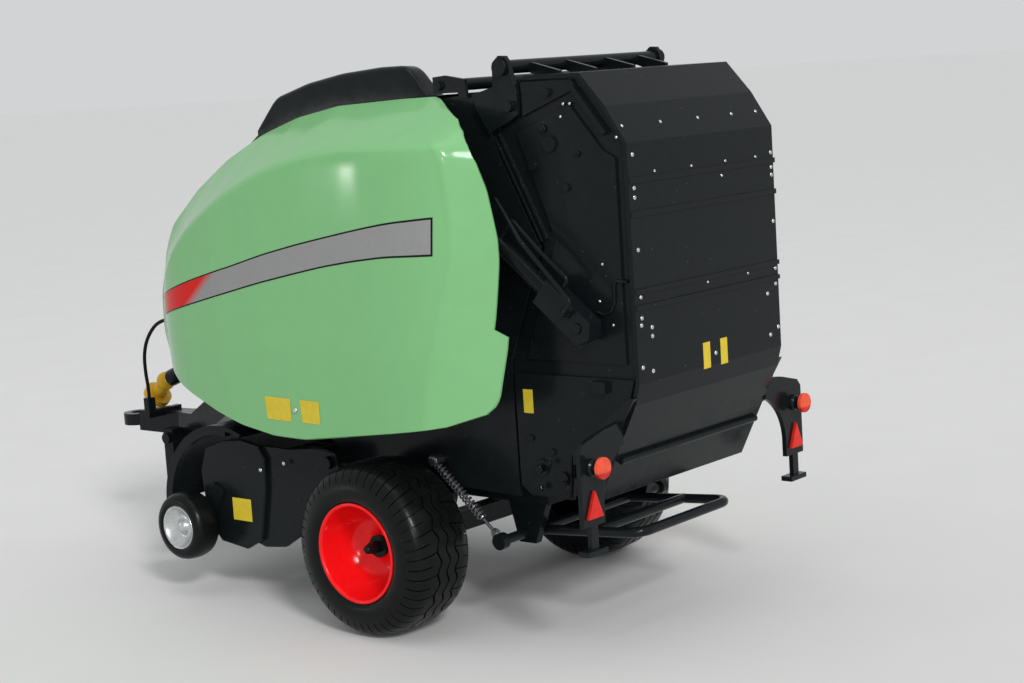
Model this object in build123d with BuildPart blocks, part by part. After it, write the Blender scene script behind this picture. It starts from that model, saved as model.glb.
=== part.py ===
from build123d import *
import os
from math import cos, hypot, radians, sin, tan

os.makedirs("parts", exist_ok=True)

# Round baler, a 1:32 scale model. Millimetres, +Z up, drawbar toward -Y,
# +X is the machine's left side. Side outlines are (y from the axle, height).

# ---- driving sizes -------------------------------------------------------
tyre_r = 16.0            # tyre outside radius, which stands on the floor
tyre_width = 15.8
wheel_gap = 1.7          # between a side plate and its tyre; 78 over the tyres
rim_r = 9.1
axle_pin_r = 1.5
running_gap = 0.05       # radial clearance of a turning fit
play = 0.3               # clearance between pieces that pass each other
wall = 0.8               # moulded sheet
body_half = 21.5         # outer face of the side plates
skin_over = 0.4          # the tailgate skin stands past the side plates
panel_bulge = 15.8       # a side panel, from its inner edge to its widest point
panel_wall = 0.9
hinge = (28.07, 100.9)   # tailgate hinge tube, (y from axle, height)
hinge_tube_r = 1.2
front_tube = (13.2, 98.3)
front_tube_r = 1.1
reel = (-43.0, 19.0)     # pickup reel axis
reel_r = 9.2             # to the tine tips
pickup_half = 28.0       # outer face of the pickup housings
pickup_pivot = (-17.0, 29.0)
pickup_pivot_r = 1.2
gauge = (-53.6, 14.2)    # gauge wheel axis, lifted for the road
gauge_r = 6.8
gauge_width = 6.0
gauge_gap = 1.0          # between a pickup housing and its gauge wheel
gauge_pin_r = 0.8
ramp_pivot = (22.5, 17.5)
ramp_tube_r = 0.9
jack_pivot = (-88.0, 24.6)
jack_x = 5.8
drawbar_z = 26.6         # middle of the drawbar nose
eye_y = -107.0           # towing eye
eye_r = 3.2
rear_y = 53.4            # rear face of the tailgate skin
rib_rise = 0.4           # ribs on that skin
eye_bore_r = 1.5
eye_height = 2.6
barrel_pin = (44.5, 57.0)
rod_pin = (6.0, 88.0)
barrel_r = 1.4
rod_r = 0.75
cylinder_gap = 3.4       # from a side plate to the cylinder's centre line

# the model's middle is halfway between the eye and the rear ribs
axle_y = (eye_r - eye_y - rear_y - rib_rise) / 2
tyre_outer = body_half + wheel_gap + tyre_width
tailgate_half = body_half + skin_over
panel_inner = body_half + play
panel_half = panel_inner + panel_bulge
gauge_outer = pickup_half + gauge_gap + gauge_width
cylinder_x = body_half + cylinder_gap


def at(point):
    """Side point given from the axle, in the model's frame."""
    return (axle_y + point[0], point[1])


def side_outline(points):
    return [at(point) for point in points]


def sheet_outline(points, thickness):
    """Closed outline of a bent sheet; its inner side is to the right of travel."""
    inner = []
    last = len(points) - 1
    for i, (y, z) in enumerate(points):
        before = points[max(i - 1, 0)]
        after = points[min(i + 1, last)]
        turns = []
        for a, b in ((before, (y, z)), ((y, z), after)):
            length = hypot(b[0] - a[0], b[1] - a[1])
            if length > 0:
                turns.append(((b[1] - a[1]) / length, -(b[0] - a[0]) / length))
        ny = sum(t[0] for t in turns)
        nz = sum(t[1] for t in turns)
        size = hypot(ny, nz)
        ny, nz = ny / size, nz / size
        reach = thickness / (ny * turns[0][0] + nz * turns[0][1])
        inner.append((y + ny * reach, z + nz * reach))
    return points + inner[::-1]


def plate(points, x_low, x_high, holes=()):
    """A plate cut to a side outline, between two widths, with round holes."""
    with BuildPart() as cut:
        with BuildSketch(Plane.YZ.offset(x_low)):
            with BuildLine():
                Polyline(*side_outline(points), close=True)
            make_face()
            for y, z, r in holes:
                with Locations(at((y, z))):
                    Circle(r, mode=Mode.SUBTRACT)
        extrude(amount=x_high - x_low)
    return cut.part


def disc(centre, r, x_low, x_high, bore=0):
    """A round boss, pin or roller across the machine."""
    with BuildPart() as turned:
        with BuildSketch(Plane.YZ.offset(x_low)):
            with Locations(at(centre)):
                Circle(r)
                if bore:
                    Circle(bore, mode=Mode.SUBTRACT)
        extrude(amount=x_high - x_low)
    return turned.part


def on_circle(centre, r, degrees):
    """Side point on a circle, in the model's frame."""
    return at((centre[0] + r * cos(radians(degrees)), centre[1] + r * sin(radians(degrees))))


def block(x, y, z):
    """A box from its (low, high) spans, y from the axle."""
    size = (x[1] - x[0], y[1] - y[0], z[1] - z[0])
    middle = ((x[0] + x[1]) / 2, axle_y + (y[0] + y[1]) / 2, (z[0] + z[1]) / 2)
    with BuildPart() as made:
        with Locations(middle):
            Box(*size)
    return made.part


def strip(a, b, low, high):
    """Outline of a band beside the line from a to b, by its side distances."""
    length = hypot(b[0] - a[0], b[1] - a[1])
    side = ((a[1] - b[1]) / length, (b[0] - a[0]) / length)
    corners = ((a, low), (b, low), (b, high), (a, high))
    return [(y + side[0] * off, z + side[1] * off) for (y, z), off in corners]


def rod_between(a, b, r, x, x_end=None):
    """A round bar between two side points; it may cross in width."""
    start = Vector(x, *at(a))
    end = Vector(x if x_end is None else x_end, *at(b))
    with BuildPart() as bar:
        with BuildSketch(Plane(origin=start, z_dir=end - start)):
            Circle(r)
        extrude(amount=(end - start).length)
    return bar.part


def tube_path(points, r, corner):
    """A bent round tube along (x, y, z) points, y from the axle."""
    route = [(x, axle_y + y, z) for x, y, z in points]
    with BuildPart() as tube:
        with BuildLine() as line:
            FilletPolyline(*route, radius=corner)
        with BuildSketch(Plane(origin=line.line @ 0, z_dir=line.line % 0)):
            Circle(r)
        sweep()
    return tube.part


def both(*solids):
    """The given pieces and their mirror images on the other side."""
    with BuildPart() as pair:
        add(solids)
        mirror(about=Plane.YZ)
    return pair.part


def joined(*solids):
    with BuildPart() as whole:
        add(solids)
    return whole.part


def mirrored(solid):
    with BuildPart() as other:
        mirror(solid, about=Plane.YZ)
    return other.part


def wheel_turning(outline, x_outer, centre):
    """Revolves an outline of (depth inward from the outer face, radius)."""
    y, z = at(centre)
    with BuildPart() as turned:
        with BuildSketch(Plane(origin=(x_outer, y, z), x_dir=(-1, 0, 0), z_dir=(0, 1, 0))):
            with BuildLine():
                Polyline(*outline, close=True)
            make_face()
        revolve(axis=Axis((0, y, z), (1, 0, 0)))
    return turned.part


pieces = {}

# ---- wheels --------------------------------------------------------------
wheel = (0.0, tyre_r)


def tyre(r, width, bead, x_outer, centre):
    """A wide flotation tyre: round shoulders, full side walls."""
    y, z = at(centre)
    crown = 0.035 * r
    shoulder = 0.16 * r
    with BuildPart() as body:
        with BuildSketch(Plane(origin=(x_outer, y, z), x_dir=(-1, 0, 0), z_dir=(0, 1, 0))):
            with BuildLine():
                start = (0.06 * width, bead)
                wall_out = (0.0, r - 2.2 * shoulder)
                tread_out = (0.1 * width, r - crown)
                tread_in = (0.9 * width, r - crown)
                wall_in = (width, r - 2.2 * shoulder)
                end = (0.94 * width, bead)
                Line(start, wall_out)
                ThreePointArc(wall_out, (0.03 * width, r - shoulder), tread_out)
                ThreePointArc(tread_out, (width / 2, r), tread_in)
                ThreePointArc(tread_in, (0.97 * width, r - shoulder), wall_in)
                Line(wall_in, end)
                Line(end, start)
            make_face()
        revolve(axis=Axis((0, y, z), (1, 0, 0)))
    return body.part


pieces["tyre_left"] = tyre(tyre_r, tyre_width, rim_r, tyre_outer, wheel)
hub_depth = 8.4          # disc of the rim, in from the tyre's outer face
hub_bore = axle_pin_r + running_gap
rim_outline = (
    (0.95, rim_r), (0.95, rim_r - 0.7), (4.2, rim_r - 1.1), (4.6, rim_r - 1.8),
    (hub_depth - 0.8, rim_r - 2.2),
    (hub_depth, rim_r - 2.8), (hub_depth, 2.4), (hub_depth - 1.0, 2.2), (hub_depth - 1.0, hub_bore),
    (hub_depth + 3.0, hub_bore), (hub_depth + 3.0, 2.6), (hub_depth + 0.9, 2.8),
    (hub_depth + 0.9, rim_r - 1.6),
    (tyre_width - 0.95, rim_r - 0.7), (tyre_width - 0.95, rim_r),
)
pieces["rim_left"] = wheel_turning(rim_outline, tyre_outer, wheel)

gauge_bore = gauge_pin_r + running_gap
gauge_bead = 0.64 * gauge_r
pieces["gauge_tyre_left"] = tyre(gauge_r, gauge_width, gauge_bead, gauge_outer, gauge)
gauge_rim_outline = (
    (0.36, gauge_bead), (0.36, gauge_bead - 0.5), (1.3, gauge_bead - 1.2), (1.5, 1.6), (0.9, 1.3),
    (0.9, gauge_bore),
    (gauge_width - 0.5, gauge_bore), (gauge_width - 0.5, 1.6), (2.4, 1.8), (2.4, gauge_bead - 1.0),
    (gauge_width - 0.36, gauge_bead - 0.5), (gauge_width - 0.36, gauge_bead),
)
pieces["gauge_rim_left"] = wheel_turning(gauge_rim_outline, gauge_outer, gauge)

# ---- axle, frame and drawbar --------------------------------------------
axle_half = tyre_outer - hub_depth - 3.0 - play
beam = 3.6
pin_end = tyre_outer - hub_depth + 1.4
pieces["axle"] = joined(
    block((-axle_half, axle_half), (-beam / 2, beam / 2), (tyre_r - beam / 2, tyre_r + beam / 2)),
    disc(wheel, axle_pin_r, -pin_end, pin_end),
    both(disc(wheel, 2.1, pin_end, pin_end + 0.7)),
)
rail_in, rail_out = 14.5, 18.0
rail_z = (23.4, 26.6)
rail_y = (-24.0, 29.0)
axle_top = tyre_r + beam / 2
axle_saddle = [(-4.5, rail_z[0]), (-2.6, axle_top), (2.6, axle_top), (4.5, rail_z[0])]
pieces["chassis_frame"] = joined(
    both(block((rail_in, rail_out), rail_y, rail_z)),
    both(plate(axle_saddle, rail_in, rail_out)),
    block((-rail_in, rail_in), (rail_y[0], rail_y[0] + 3.0), rail_z),
    block((-rail_in, rail_in), (rail_y[1] - 3.0, rail_y[1]), rail_z),
    both(plate(
        [(18.5, rail_z[0]), (20.6, 15.6), (24.4, 15.6), (27.5, rail_z[0])], rail_in + 0.8, rail_in + 2.4,
        holes=[(*ramp_pivot, ramp_tube_r)],
    )),
)

# ---- fixed side plates ---------------------------------------------------
seam = [(25.4, 25.4), (25.4, 50.2), (33.6, 70.0), (22.6, 91.6), (23.6, 97.0)]
# the roof lies on this edge of the side plates, from rear to front
roof_line = [(11.1, 95.9), (-0.4, 95.5), (-13.0, 95.2), (-20.7, 94.3), (-28.2, 92.4), (-35.4, 90.8)]
nose_line = [
    (-44.0, 85.0), (-53.6, 78.8), (-61.4, 72.0), (-65.6, 65.0), (-67.0, 54.0), (-63.0, 46.4), (-50.0, 40.2),
]
side_plate_outline = [
    (-18.6, 26.6), (-12.0, 26.6), *seam, *roof_line, *nose_line, (-26.0, 36.0), (-20.2, 31.0),
]
lug_outline = [
    (24.4, 89.7), (29.1, 91.6), (31.2, 92.8), (31.2, 96.4), (30.0, 99.9), (29.5, 101.8), (28.8, 102.8),
    (27.5, 102.9), (26.5, 102.1), (26.0, 100.9), (25.9, 97.7), (21.6, 96.6), (21.6, 94.2),
]
lug_wall = 1.0
lug_face = body_half + lug_wall
hinge_bore = hinge_tube_r + running_gap
pieces["side_plate_left"] = joined(
    plate(side_plate_outline, body_half - wall, body_half, holes=[(*pickup_pivot, pickup_pivot_r)]),
    plate(lug_outline, body_half, lug_face, holes=[(*hinge, hinge_bore)]),
    disc((29.6, 94.2), 0.9, lug_face, lug_face + 0.9),
)

# ---- front: net box, roof, cross tube ------------------------------------
inner_half = body_half - wall
net_line = [
    (-28.0, 37.0), (-48.0, 39.8), (-60.4, 45.4), (-66.0, 54.0), (-64.6, 64.8), (-60.4, 71.4), (-52.8, 78.0),
    (-43.4, 84.0), (-35.4, 89.8),
]
pieces["net_box"] = plate(sheet_outline(net_line, wall), -inner_half, inner_half)

# a low roof between the side plates, and a fairing along its left edge
roof_half = body_half - 0.1
roof_top = [(y, z + wall) for y, z in roof_line]
pieces["roof"] = plate(roof_line + roof_top[::-1], -roof_half, roof_half)
fairing_line = [
    (-35.4, 91.6), (-33.6, 94.3), (-30.0, 97.9), (-21.3, 100.2), (-12.2, 101.6), (-2.2, 102.3), (5.4, 102.3),
    (6.8, 101.8), (7.8, 100.8), (11.1, 96.7),
]
fairing_width = 4.5
pieces["top_fairing"] = plate(fairing_line + roof_top[1:-1], roof_half - fairing_width, roof_half)

ear = [(11.7, 99.9), (11.7, 97.0), (17.4, 97.0), (18.0, 96.0), (19.6, 96.0), (19.2, 99.3), (14.6, 100.1)]
pieces["front_cross_tube"] = joined(
    disc(front_tube, front_tube_r, -body_half, body_half),
    both(plate(ear, body_half, body_half + 0.6)),
    both(disc(front_tube, 0.8, body_half + 0.6, body_half + 1.3)),
)

# ---- chamber rollers -----------------------------------------------------
roller_table = (
    # y, z, radius
    (-14.0, 31.5, 2.6),
    (5.0, 29.5, 2.4),
    (-24.0, 44.0, 2.4),
    (-16.0, 88.0, 2.2),
    (8.0, 92.0, 2.2),
)
rollers = []
for y, z, r in roller_table:
    rollers.append(disc((y, z), r, -inner_half + play, inner_half - play))
    rollers.append(disc((y, z), 0.9, -inner_half, inner_half))
pieces["chamber_rollers"] = joined(*rollers)

# ---- drawbar, eye, drive shaft ------------------------------------------
nose_half = 2.3
drawbar_half = 9.0
nose_rear = -90.0        # where the drawbar starts to widen
holder_y = (eye_y + 11.3, eye_y + 12.9)
holder_top = 33.0        # hose holder on the drawbar
drawbar_top = [(-84.0, 29.6), (-70.0, 37.0)]
with BuildPart() as drawbar:
    with BuildSketch(Plane.YZ.offset(-drawbar_half)):
        with BuildLine():
            Polyline(*side_outline([
                (eye_y + eye_r, drawbar_z - nose_half), (eye_y + eye_r, drawbar_z + nose_half), *drawbar_top,
                (-58.0, 43.6), (-50.0, 39.8), (-48.0, 37.6), (-62.0, 34.0), (-80.0, 25.2), (-88.0, 24.3),
            ]), close=True)
        make_face()
    extrude(amount=2 * drawbar_half)
    with BuildSketch(Plane.XY):
        with BuildLine():
            Polyline(
                (nose_half, axle_y + eye_y), (nose_half, axle_y + nose_rear), (drawbar_half, axle_y - 60.0),
                (drawbar_half, axle_y - 40.0), (-drawbar_half, axle_y - 40.0), (-drawbar_half, axle_y - 60.0),
                (-nose_half, axle_y + nose_rear), (-nose_half, axle_y + eye_y), close=True,
            )
        make_face()
    extrude(amount=60, mode=Mode.INTERSECT)
pieces["drawbar"] = joined(
    drawbar.part,
    both(plate([(-50.0, 39.8), (-42.0, 38.2), (-42.0, 35.2), (-50.0, 37.0)], drawbar_half, inner_half)),
    block((-nose_half, 7.0), holder_y, (drawbar_z + nose_half - 0.4, drawbar_z + nose_half + 1.2)),
    block((5.0, 7.0), holder_y, (drawbar_z + nose_half, holder_top)),
)

with BuildPart() as towing_eye:
    with BuildSketch(Plane.XY.offset(drawbar_z - eye_height / 2)):
        with Locations((0, axle_y + eye_y)):
            Circle(eye_r)
            Circle(eye_bore_r, mode=Mode.SUBTRACT)
    extrude(amount=eye_height)
pieces["towing_eye"] = towing_eye.part

gear_half = 4.5
gear_y = (-72.0, -65.0)
gear_top = 49.5
slope = (drawbar_top[1][1] - drawbar_top[0][1]) / (drawbar_top[1][0] - drawbar_top[0][0])
gear_foot = drawbar_top[0][1] + slope * (gear_y[0] - drawbar_top[0][0])
pieces["gearbox"] = plate(
    [(gear_y[0], gear_foot), drawbar_top[1], (gear_y[1], 39.8), (gear_y[1], gear_top),
     (gear_y[0] + 1.5, gear_top),
     (gear_y[0], gear_top - 1.5)], -gear_half, gear_half,
)
shaft_r = 1.0
shaft_rear = (gear_y[0], 45.0)
shaft_knee = (-96.0, 35.7)   # universal joint, inside the yellow ball
shaft_front = (-101.0, 30.7)
shaft_long = hypot(shaft_knee[0] - shaft_rear[0], shaft_knee[1] - shaft_rear[1])


def toward(a, b, distance):
    """Side point at a distance from a on the line to b."""
    share = distance / hypot(b[0] - a[0], b[1] - a[1])
    return (a[0] + (b[0] - a[0]) * share, a[1] + (b[1] - a[1]) * share)


def on_shaft(distance):
    """Side point on the drive shaft, measured from the gearbox."""
    return toward(shaft_rear, shaft_knee, distance)


def on_yoke(distance):
    """Side point on the shaft's last link, measured from the knee."""
    return toward(shaft_knee, shaft_front, distance)


with BuildPart() as drive_shaft:
    add(rod_between(on_shaft(0.35), shaft_knee, shaft_r, 0.0))
    add(rod_between(shaft_knee, shaft_front, shaft_r, 0.0))
    add(rod_between(on_yoke(5.9), shaft_front, 1.5, 0.0))
pieces["drive_shaft"] = drive_shaft.part
ball_r = 2.1
with BuildPart() as shaft_guard:
    # start, end along the shaft, radius
    for start, end, r in (
        (1.0, 3.0, 2.4), (3.0, shaft_long - 6.0, 1.55), (shaft_long - 6.0, shaft_long - ball_r - play, 1.9),
    ):
        add(rod_between(on_shaft(start), on_shaft(end), r, 0.0))
    add(rod_between(on_shaft(-1.0), on_shaft(shaft_long + 1.0), shaft_r, 0.0), mode=Mode.SUBTRACT)
pieces["shaft_guard"] = shaft_guard.part
with BuildPart() as shaft_cone:
    with Locations((0, *at(shaft_knee))):
        Sphere(ball_r)
    add(rod_between(on_yoke(1.2), on_yoke(4.0), 1.7, 0.0))
    add(rod_between(on_yoke(4.0), on_yoke(5.4), 3.1, 0.0))
    add(rod_between(on_shaft(shaft_long - 4.0), shaft_knee, shaft_r, 0.0), mode=Mode.SUBTRACT)
    add(rod_between(shaft_knee, on_yoke(8.0), shaft_r, 0.0), mode=Mode.SUBTRACT)
    with Locations((0, *at(shaft_knee))):
        Sphere(shaft_r, mode=Mode.SUBTRACT)
pieces["shaft_cone"] = shaft_cone.part

# hose from the gearbox to its holder on the drawbar
holder_mid = (holder_y[0] + holder_y[1]) / 2
hose_start = gear_y[0] - 3.4
hose_reach = hose_start - holder_mid
hose_y = [hose_start - share * hose_reach for share in (0.39, 0.73, 0.93, 1.025)]
hose_route = [
    (3.0, gear_y[0], 47.4), (3.0, hose_start, 47.4), (4.4, hose_y[0], 51.0), (5.6, hose_y[1], 50.6),
    (6.0, hose_y[2], 46.9), (6.0, hose_y[3], 42.8), (6.0, hose_y[3], 38.4), (6.0, holder_mid, 35.4),
    (6.0, holder_mid, holder_top),
]
hose_r = 0.4
pieces["front_hose"] = tube_path(hose_route, hose_r, 3.2)

# ---- jack ----------------------------------------------------------------
jack_half = 1.5
jack_pin_r = 0.8
foot_half = 2.4
foot_thick = 0.8
nose_side = nose_half + (drawbar_half - nose_half) * (jack_pivot[0] - nose_rear) / (-60.0 - nose_rear)
with BuildPart() as jack:
    add(block(
        (jack_x - jack_half, jack_x + jack_half), (jack_pivot[0] - jack_half, jack_pivot[0] + jack_half),
        (foot_thick, jack_pivot[1] + 2.0),
    ))
    add(block(
        (jack_x - foot_half, jack_x + foot_half), (jack_pivot[0] - foot_half, jack_pivot[0] + foot_half),
        (0.0, foot_thick),
    ))
    add(disc(jack_pivot, jack_pin_r + running_gap, 0, 20), mode=Mode.SUBTRACT)
pieces["jack"] = jack.part
pieces["drawbar"] = joined(
    pieces["drawbar"],
    disc(jack_pivot, 1.5, nose_side - 0.5, jack_x - jack_half - play),
    disc(jack_pivot, jack_pin_r, nose_side, jack_x + jack_half + play),
    disc(jack_pivot, 1.2, jack_x + jack_half + play, jack_x + jack_half + play + 0.5),
)

# ---- ramp ----------------------------------------------------------------
ramp_half = 14.0
ramp_tip = (45.8, 19.2)
ramp_bay = (35.4, 18.5)
ramp_heel = (ramp_pivot[0] + 0.5, ramp_pivot[1])
lever_half = body_half + 3.0
pieces["ramp"] = joined(
    disc(ramp_pivot, ramp_tube_r, -lever_half, lever_half),
    tube_path(
        [(ramp_half, *ramp_heel), (ramp_half, *ramp_tip), (-ramp_half, *ramp_tip), (-ramp_half, *ramp_heel)],
        ramp_tube_r, 3.0,
    ),
    disc(ramp_bay, ramp_tube_r, -ramp_half, ramp_half),
    both(disc(ramp_pivot, 1.5, lever_half - 1.2, lever_half + 0.4)),
)
spring_top = (6.6, 30.6)
spring_foot = (20.6, 18.2)
spring_x = body_half + 1.5
spring_r = 0.9
pieces["ramp_spring_left"] = joined(
    rod_between(spring_top, spring_foot, spring_r, spring_x),
    disc(spring_top, 1.1, body_half, spring_x + 0.6),
)

# ---- tailgate ------------------------------------------------------------
gate_side = body_half - 0.2
pad_rise = 0.45          # raised field on the tailgate's side
pin_r = 0.9              # pins of the tailgate cylinders
tailgate_front = [(32.2, 98.3), (24.4, 97.2), (23.3, 91.4), (34.3, 69.9), (25.75, 50.0), (25.75, 27.4)]
skin_line = [
    (32.4, 99.3), (44.3, 99.3), (49.4, 93.6), (rear_y, 87.4), (rear_y, 47.2), (52.4, 43.6), (43.6, 26.4),
]
inside_line = sheet_outline(skin_line, wall)[len(skin_line):]
tailgate_outline = tailgate_front + [(28.0, 25.8), (37.2, 25.8), (38.3, 33.4)] + inside_line[1:-1]
doubler = [(31.6, 92.4), (43.4, 96.7), (42.6, 98.2), (31.6, 98.2)]
pad = [(29.9, 89.6), (41.8, 94.0), (48.2, 86.4), (50.8, 85.0), (50.8, 50.4), (29.2, 50.4), (37.2, 71.4)]
lower_box = [(26.2, 47.8), (52.3, 47.9), (51.2, 44.4), (38.1, 34.0), (37.0, 26.2), (28.2, 26.2), (26.2, 27.8)]
rail_top, rail_foot = (24.5, 88.9), (33.8, 70.7)
upper_strip = strip((43.3, 97.0), (49.5, 89.3), -0.9, 0.0)
# bosses, bolts and latch: y, z, radius, how far they stand out
knobs = (
    (31.3, 31.3, 1.5, 1.0),
    (36.0, 29.7, 1.2, 1.1),
    (33.9, 34.2, 0.6, 1.0),
    (29.2, 36.4, 0.6, 1.0),
    (37.5, 96.2, 0.7, 1.2),
    (33.4, 84.0, 0.9, 1.0),
    (37.2, 87.6, 1.4, 0.9),
    (40.3, 80.2, 0.7, 0.9),
)
latch = [(44.0, 45.4), (46.8, 45.4), (46.8, 47.4), (44.0, 47.4)]
pieces["tailgate_side_left"] = joined(
    plate(tailgate_outline, gate_side - wall, gate_side),
    plate(doubler, gate_side, gate_side + 0.6),
    plate(pad, gate_side, gate_side + pad_rise, holes=[(*barrel_pin, pin_r)]),
    plate(lower_box, gate_side, gate_side + 0.6),
    plate(strip(rail_top, rail_foot, 0.2, 0.7), gate_side, gate_side + 0.5),
    plate(strip(rail_top, rail_foot, 1.3, 1.8), gate_side, gate_side + 0.5),
    plate(upper_strip, gate_side, gate_side + 0.9),
    plate(latch, gate_side + 0.6, gate_side + 1.6),
    *[disc((y, z), r, gate_side, gate_side + out) for y, z, r, out in knobs],
)
ribs = (
    # middle height, height of the rib
    (81.2, 0.9),
    (75.6, 0.9),
    (62.7, 0.8),
    (60.0, 0.8),
)
pieces["tailgate_skin"] = joined(
    plate(sheet_outline(skin_line, wall), -tailgate_half, tailgate_half),
    *[
        block(
            (-tailgate_half, tailgate_half), (rear_y - 0.1, rear_y + rib_rise), (z - tall / 2, z + tall / 2),
        )
        for z, tall in ribs
    ],
    disc((47.7, 33.5), 0.6, -tailgate_half + 1.2, tailgate_half - 1.2),
)
gusset = [
    (hinge[0], hinge[1] - 0.9), (hinge[0], hinge[1] + 0.9),
    (35.5, 99.8), (35.5, 99.3), (32.4, 99.3), (31.0, 99.0),
]
pieces["tailgate_tube"] = joined(
    disc(hinge, hinge_tube_r, -(lug_face + play), lug_face + play),
    *[plate(gusset, x, x + 0.8) for x in (-16.0, -6.0, 5.2, 15.2)],
    both(disc(hinge, 1.5, lug_face + play, lug_face + play + 0.5)),
)
gate_roller_table = (
    # y, z, radius
    (46.6, 64.0, 2.2),
    (38.5, 31.5, 2.2),
    (44.0, 88.0, 2.2),
)
gate_inner = gate_side - wall
gate_rollers = []
for y, z, r in gate_roller_table:
    gate_rollers.append(disc((y, z), r, -gate_inner + play, gate_inner - play))
    gate_rollers.append(disc((y, z), 0.9, -gate_inner, gate_inner))
pieces["tailgate_rollers"] = joined(*gate_rollers)

# light brackets: a gusset on the tailgate's lower corner, then a horn with a foot
lamp_x = 31.2
lamp = (49.5, 34.6)      # centre of the lamp's seat
lamp_r = 2.1
lamp_deep = 1.7
horn_wall = 0.9
horn_front = lamp[0] - horn_wall
horn_root = tailgate_half + 1.0
post_in, post_out = lamp_x - 3.0, lamp_x + 2.8
horn_low = 36.9          # foot of the horn on the tailgate's side
gusset_outline = [
    (39.0, 34.7), (46.0, 40.3), (51.8, 44.9), (52.8, 44.9), (lamp[0], 39.4), (lamp[0], 37.0),
    (42.1, 32.6), (39.0, 32.6),
]
with BuildPart() as horn:
    with BuildSketch(Plane.XZ.offset(-(axle_y + lamp[0]))):
        with BuildLine():
            Polyline(
                (tailgate_half, horn_low), (tailgate_half, 41.0), (post_in - 0.4, 40.2),
                (post_out - 1.1, 38.9),
                (post_out, 37.6), (post_out, 24.8), (post_in, 24.8), (post_in, 28.0),
            )
            ThreePointArc((post_in, 28.0), (post_in - 1.4, 32.8), (tailgate_half, horn_low))
        make_face()
    extrude(amount=horn_wall)
pieces["light_bracket_left"] = joined(
    horn.part,
    plate(gusset_outline, tailgate_half, horn_root),
    block((lamp_x - 0.9, lamp_x + 0.9), (horn_front, lamp[0]), (20.8, 24.8)),
    block((lamp_x - 2.6, lamp_x + 2.6), (horn_front - 0.8, lamp[0] + 0.6), (19.9, 20.8)),
)
pieces["lamp_left"] = rod_between(lamp, (lamp[0] + lamp_deep, lamp[1]), lamp_r, lamp_x)
with BuildPart() as reflector:
    with BuildSketch(Plane.XZ.offset(-(axle_y + lamp[0]))):
        with BuildLine():
            Polyline((lamp_x - 2.0, 26.2), (lamp_x + 2.0, 26.2), (lamp_x, 30.8), close=True)
        make_face()
    extrude(amount=-0.6)
pieces["reflector_left"] = reflector.part

# ---- tailgate cylinders --------------------------------------------------
reach = hypot(rod_pin[0] - barrel_pin[0], rod_pin[1] - barrel_pin[1])
along = ((rod_pin[0] - barrel_pin[0]) / reach, (rod_pin[1] - barrel_pin[1]) / reach)


def on_cylinder(distance, rise=0.0):
    """Side point on the cylinder's centre line, or above it, measured from the barrel's pin."""
    return (
        barrel_pin[0] + along[0] * distance + along[1] * rise,
        barrel_pin[1] + along[1] * distance - along[0] * rise,
    )


barrel_length = 29.0
rod_boss_end = body_half + 1.1
block_half = 2.5         # end block of the barrel, half its height
block_x = (cylinder_x - 1.6, cylinder_x + 1.7)
block_shape = ((-3.0, 0.0), (-1.6, block_half), (9.8, block_half), (9.8, -block_half), (-1.6, -block_half))
port_top = 2.7           # the hose ports stand this far above the centre line
hose_ports = (barrel_length - 1.4, barrel_length - 6.5)
with BuildPart() as barrel:
    add(rod_between(on_cylinder(2.0), on_cylinder(barrel_length), barrel_r, cylinder_x))
    add(plate([on_cylinder(*corner) for corner in block_shape], *block_x))
    add(rod_between(on_cylinder(barrel_length - 2.4), on_cylinder(barrel_length), barrel_r + 0.4, cylinder_x))
    for port in hose_ports:
        add(rod_between(on_cylinder(port), on_cylinder(port, port_top), 0.7, cylinder_x))
    add(disc(barrel_pin, pin_r + running_gap, block_x[0] - 1, block_x[1] + 1), mode=Mode.SUBTRACT)
    bore = rod_between(on_cylinder(4.0), on_cylinder(barrel_length + 5), rod_r + running_gap, cylinder_x)
    add(bore, mode=Mode.SUBTRACT)
pieces["cylinder_barrel_left"] = barrel.part
pieces["barrel_pin_left"] = disc(barrel_pin, pin_r, gate_side, block_x[1] + play)
hose_out = block_x[1] + 1.5
hose_foot = on_cylinder(2.9, 0.6)
pieces["hoses_left"] = joined(
    disc(hose_foot, 0.7, block_x[1], block_x[1] + 0.5),
    tube_path(
        [
            (block_x[1], *hose_foot), (hose_out, *hose_foot), (hose_out, 44.8, 61.6),
            (hose_out, 34.6, 71.9), (cylinder_x, *on_cylinder(hose_ports[0], 6.0)),
            (cylinder_x, *on_cylinder(hose_ports[0], port_top)),
        ],
        hose_r, 0.9,
    ),
    tube_path(
        [
            (cylinder_x, *on_cylinder(7.0, block_half)), (cylinder_x, *on_cylinder(7.0, 4.6)),
            (cylinder_x + 0.6, *on_cylinder(14.0, 5.0)), (cylinder_x, *on_cylinder(hose_ports[1], 5.2)),
            (cylinder_x, *on_cylinder(hose_ports[1], port_top)),
        ],
        hose_r, 0.9,
    ),
)
with BuildPart() as rod:
    add(rod_between(on_cylinder(5.0), on_cylinder(reach - 1.0), rod_r, cylinder_x))
    add(disc(rod_pin, 1.9, cylinder_x - 1.0, cylinder_x + 1.0))
    add(disc(rod_pin, pin_r, rod_boss_end + play, cylinder_x + 1.5))
pieces["cylinder_rod_left"] = rod.part
pieces["rod_boss_left"] = disc(rod_pin, 1.9, body_half, rod_boss_end)

# ---- side panels ---------------------------------------------------------
panel_top = 96.3
shoulder_slope = 30.0    # the shoulder leans in by this angle
flank_in = cylinder_x + 2.2   # the rear flank draws in to here


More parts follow.
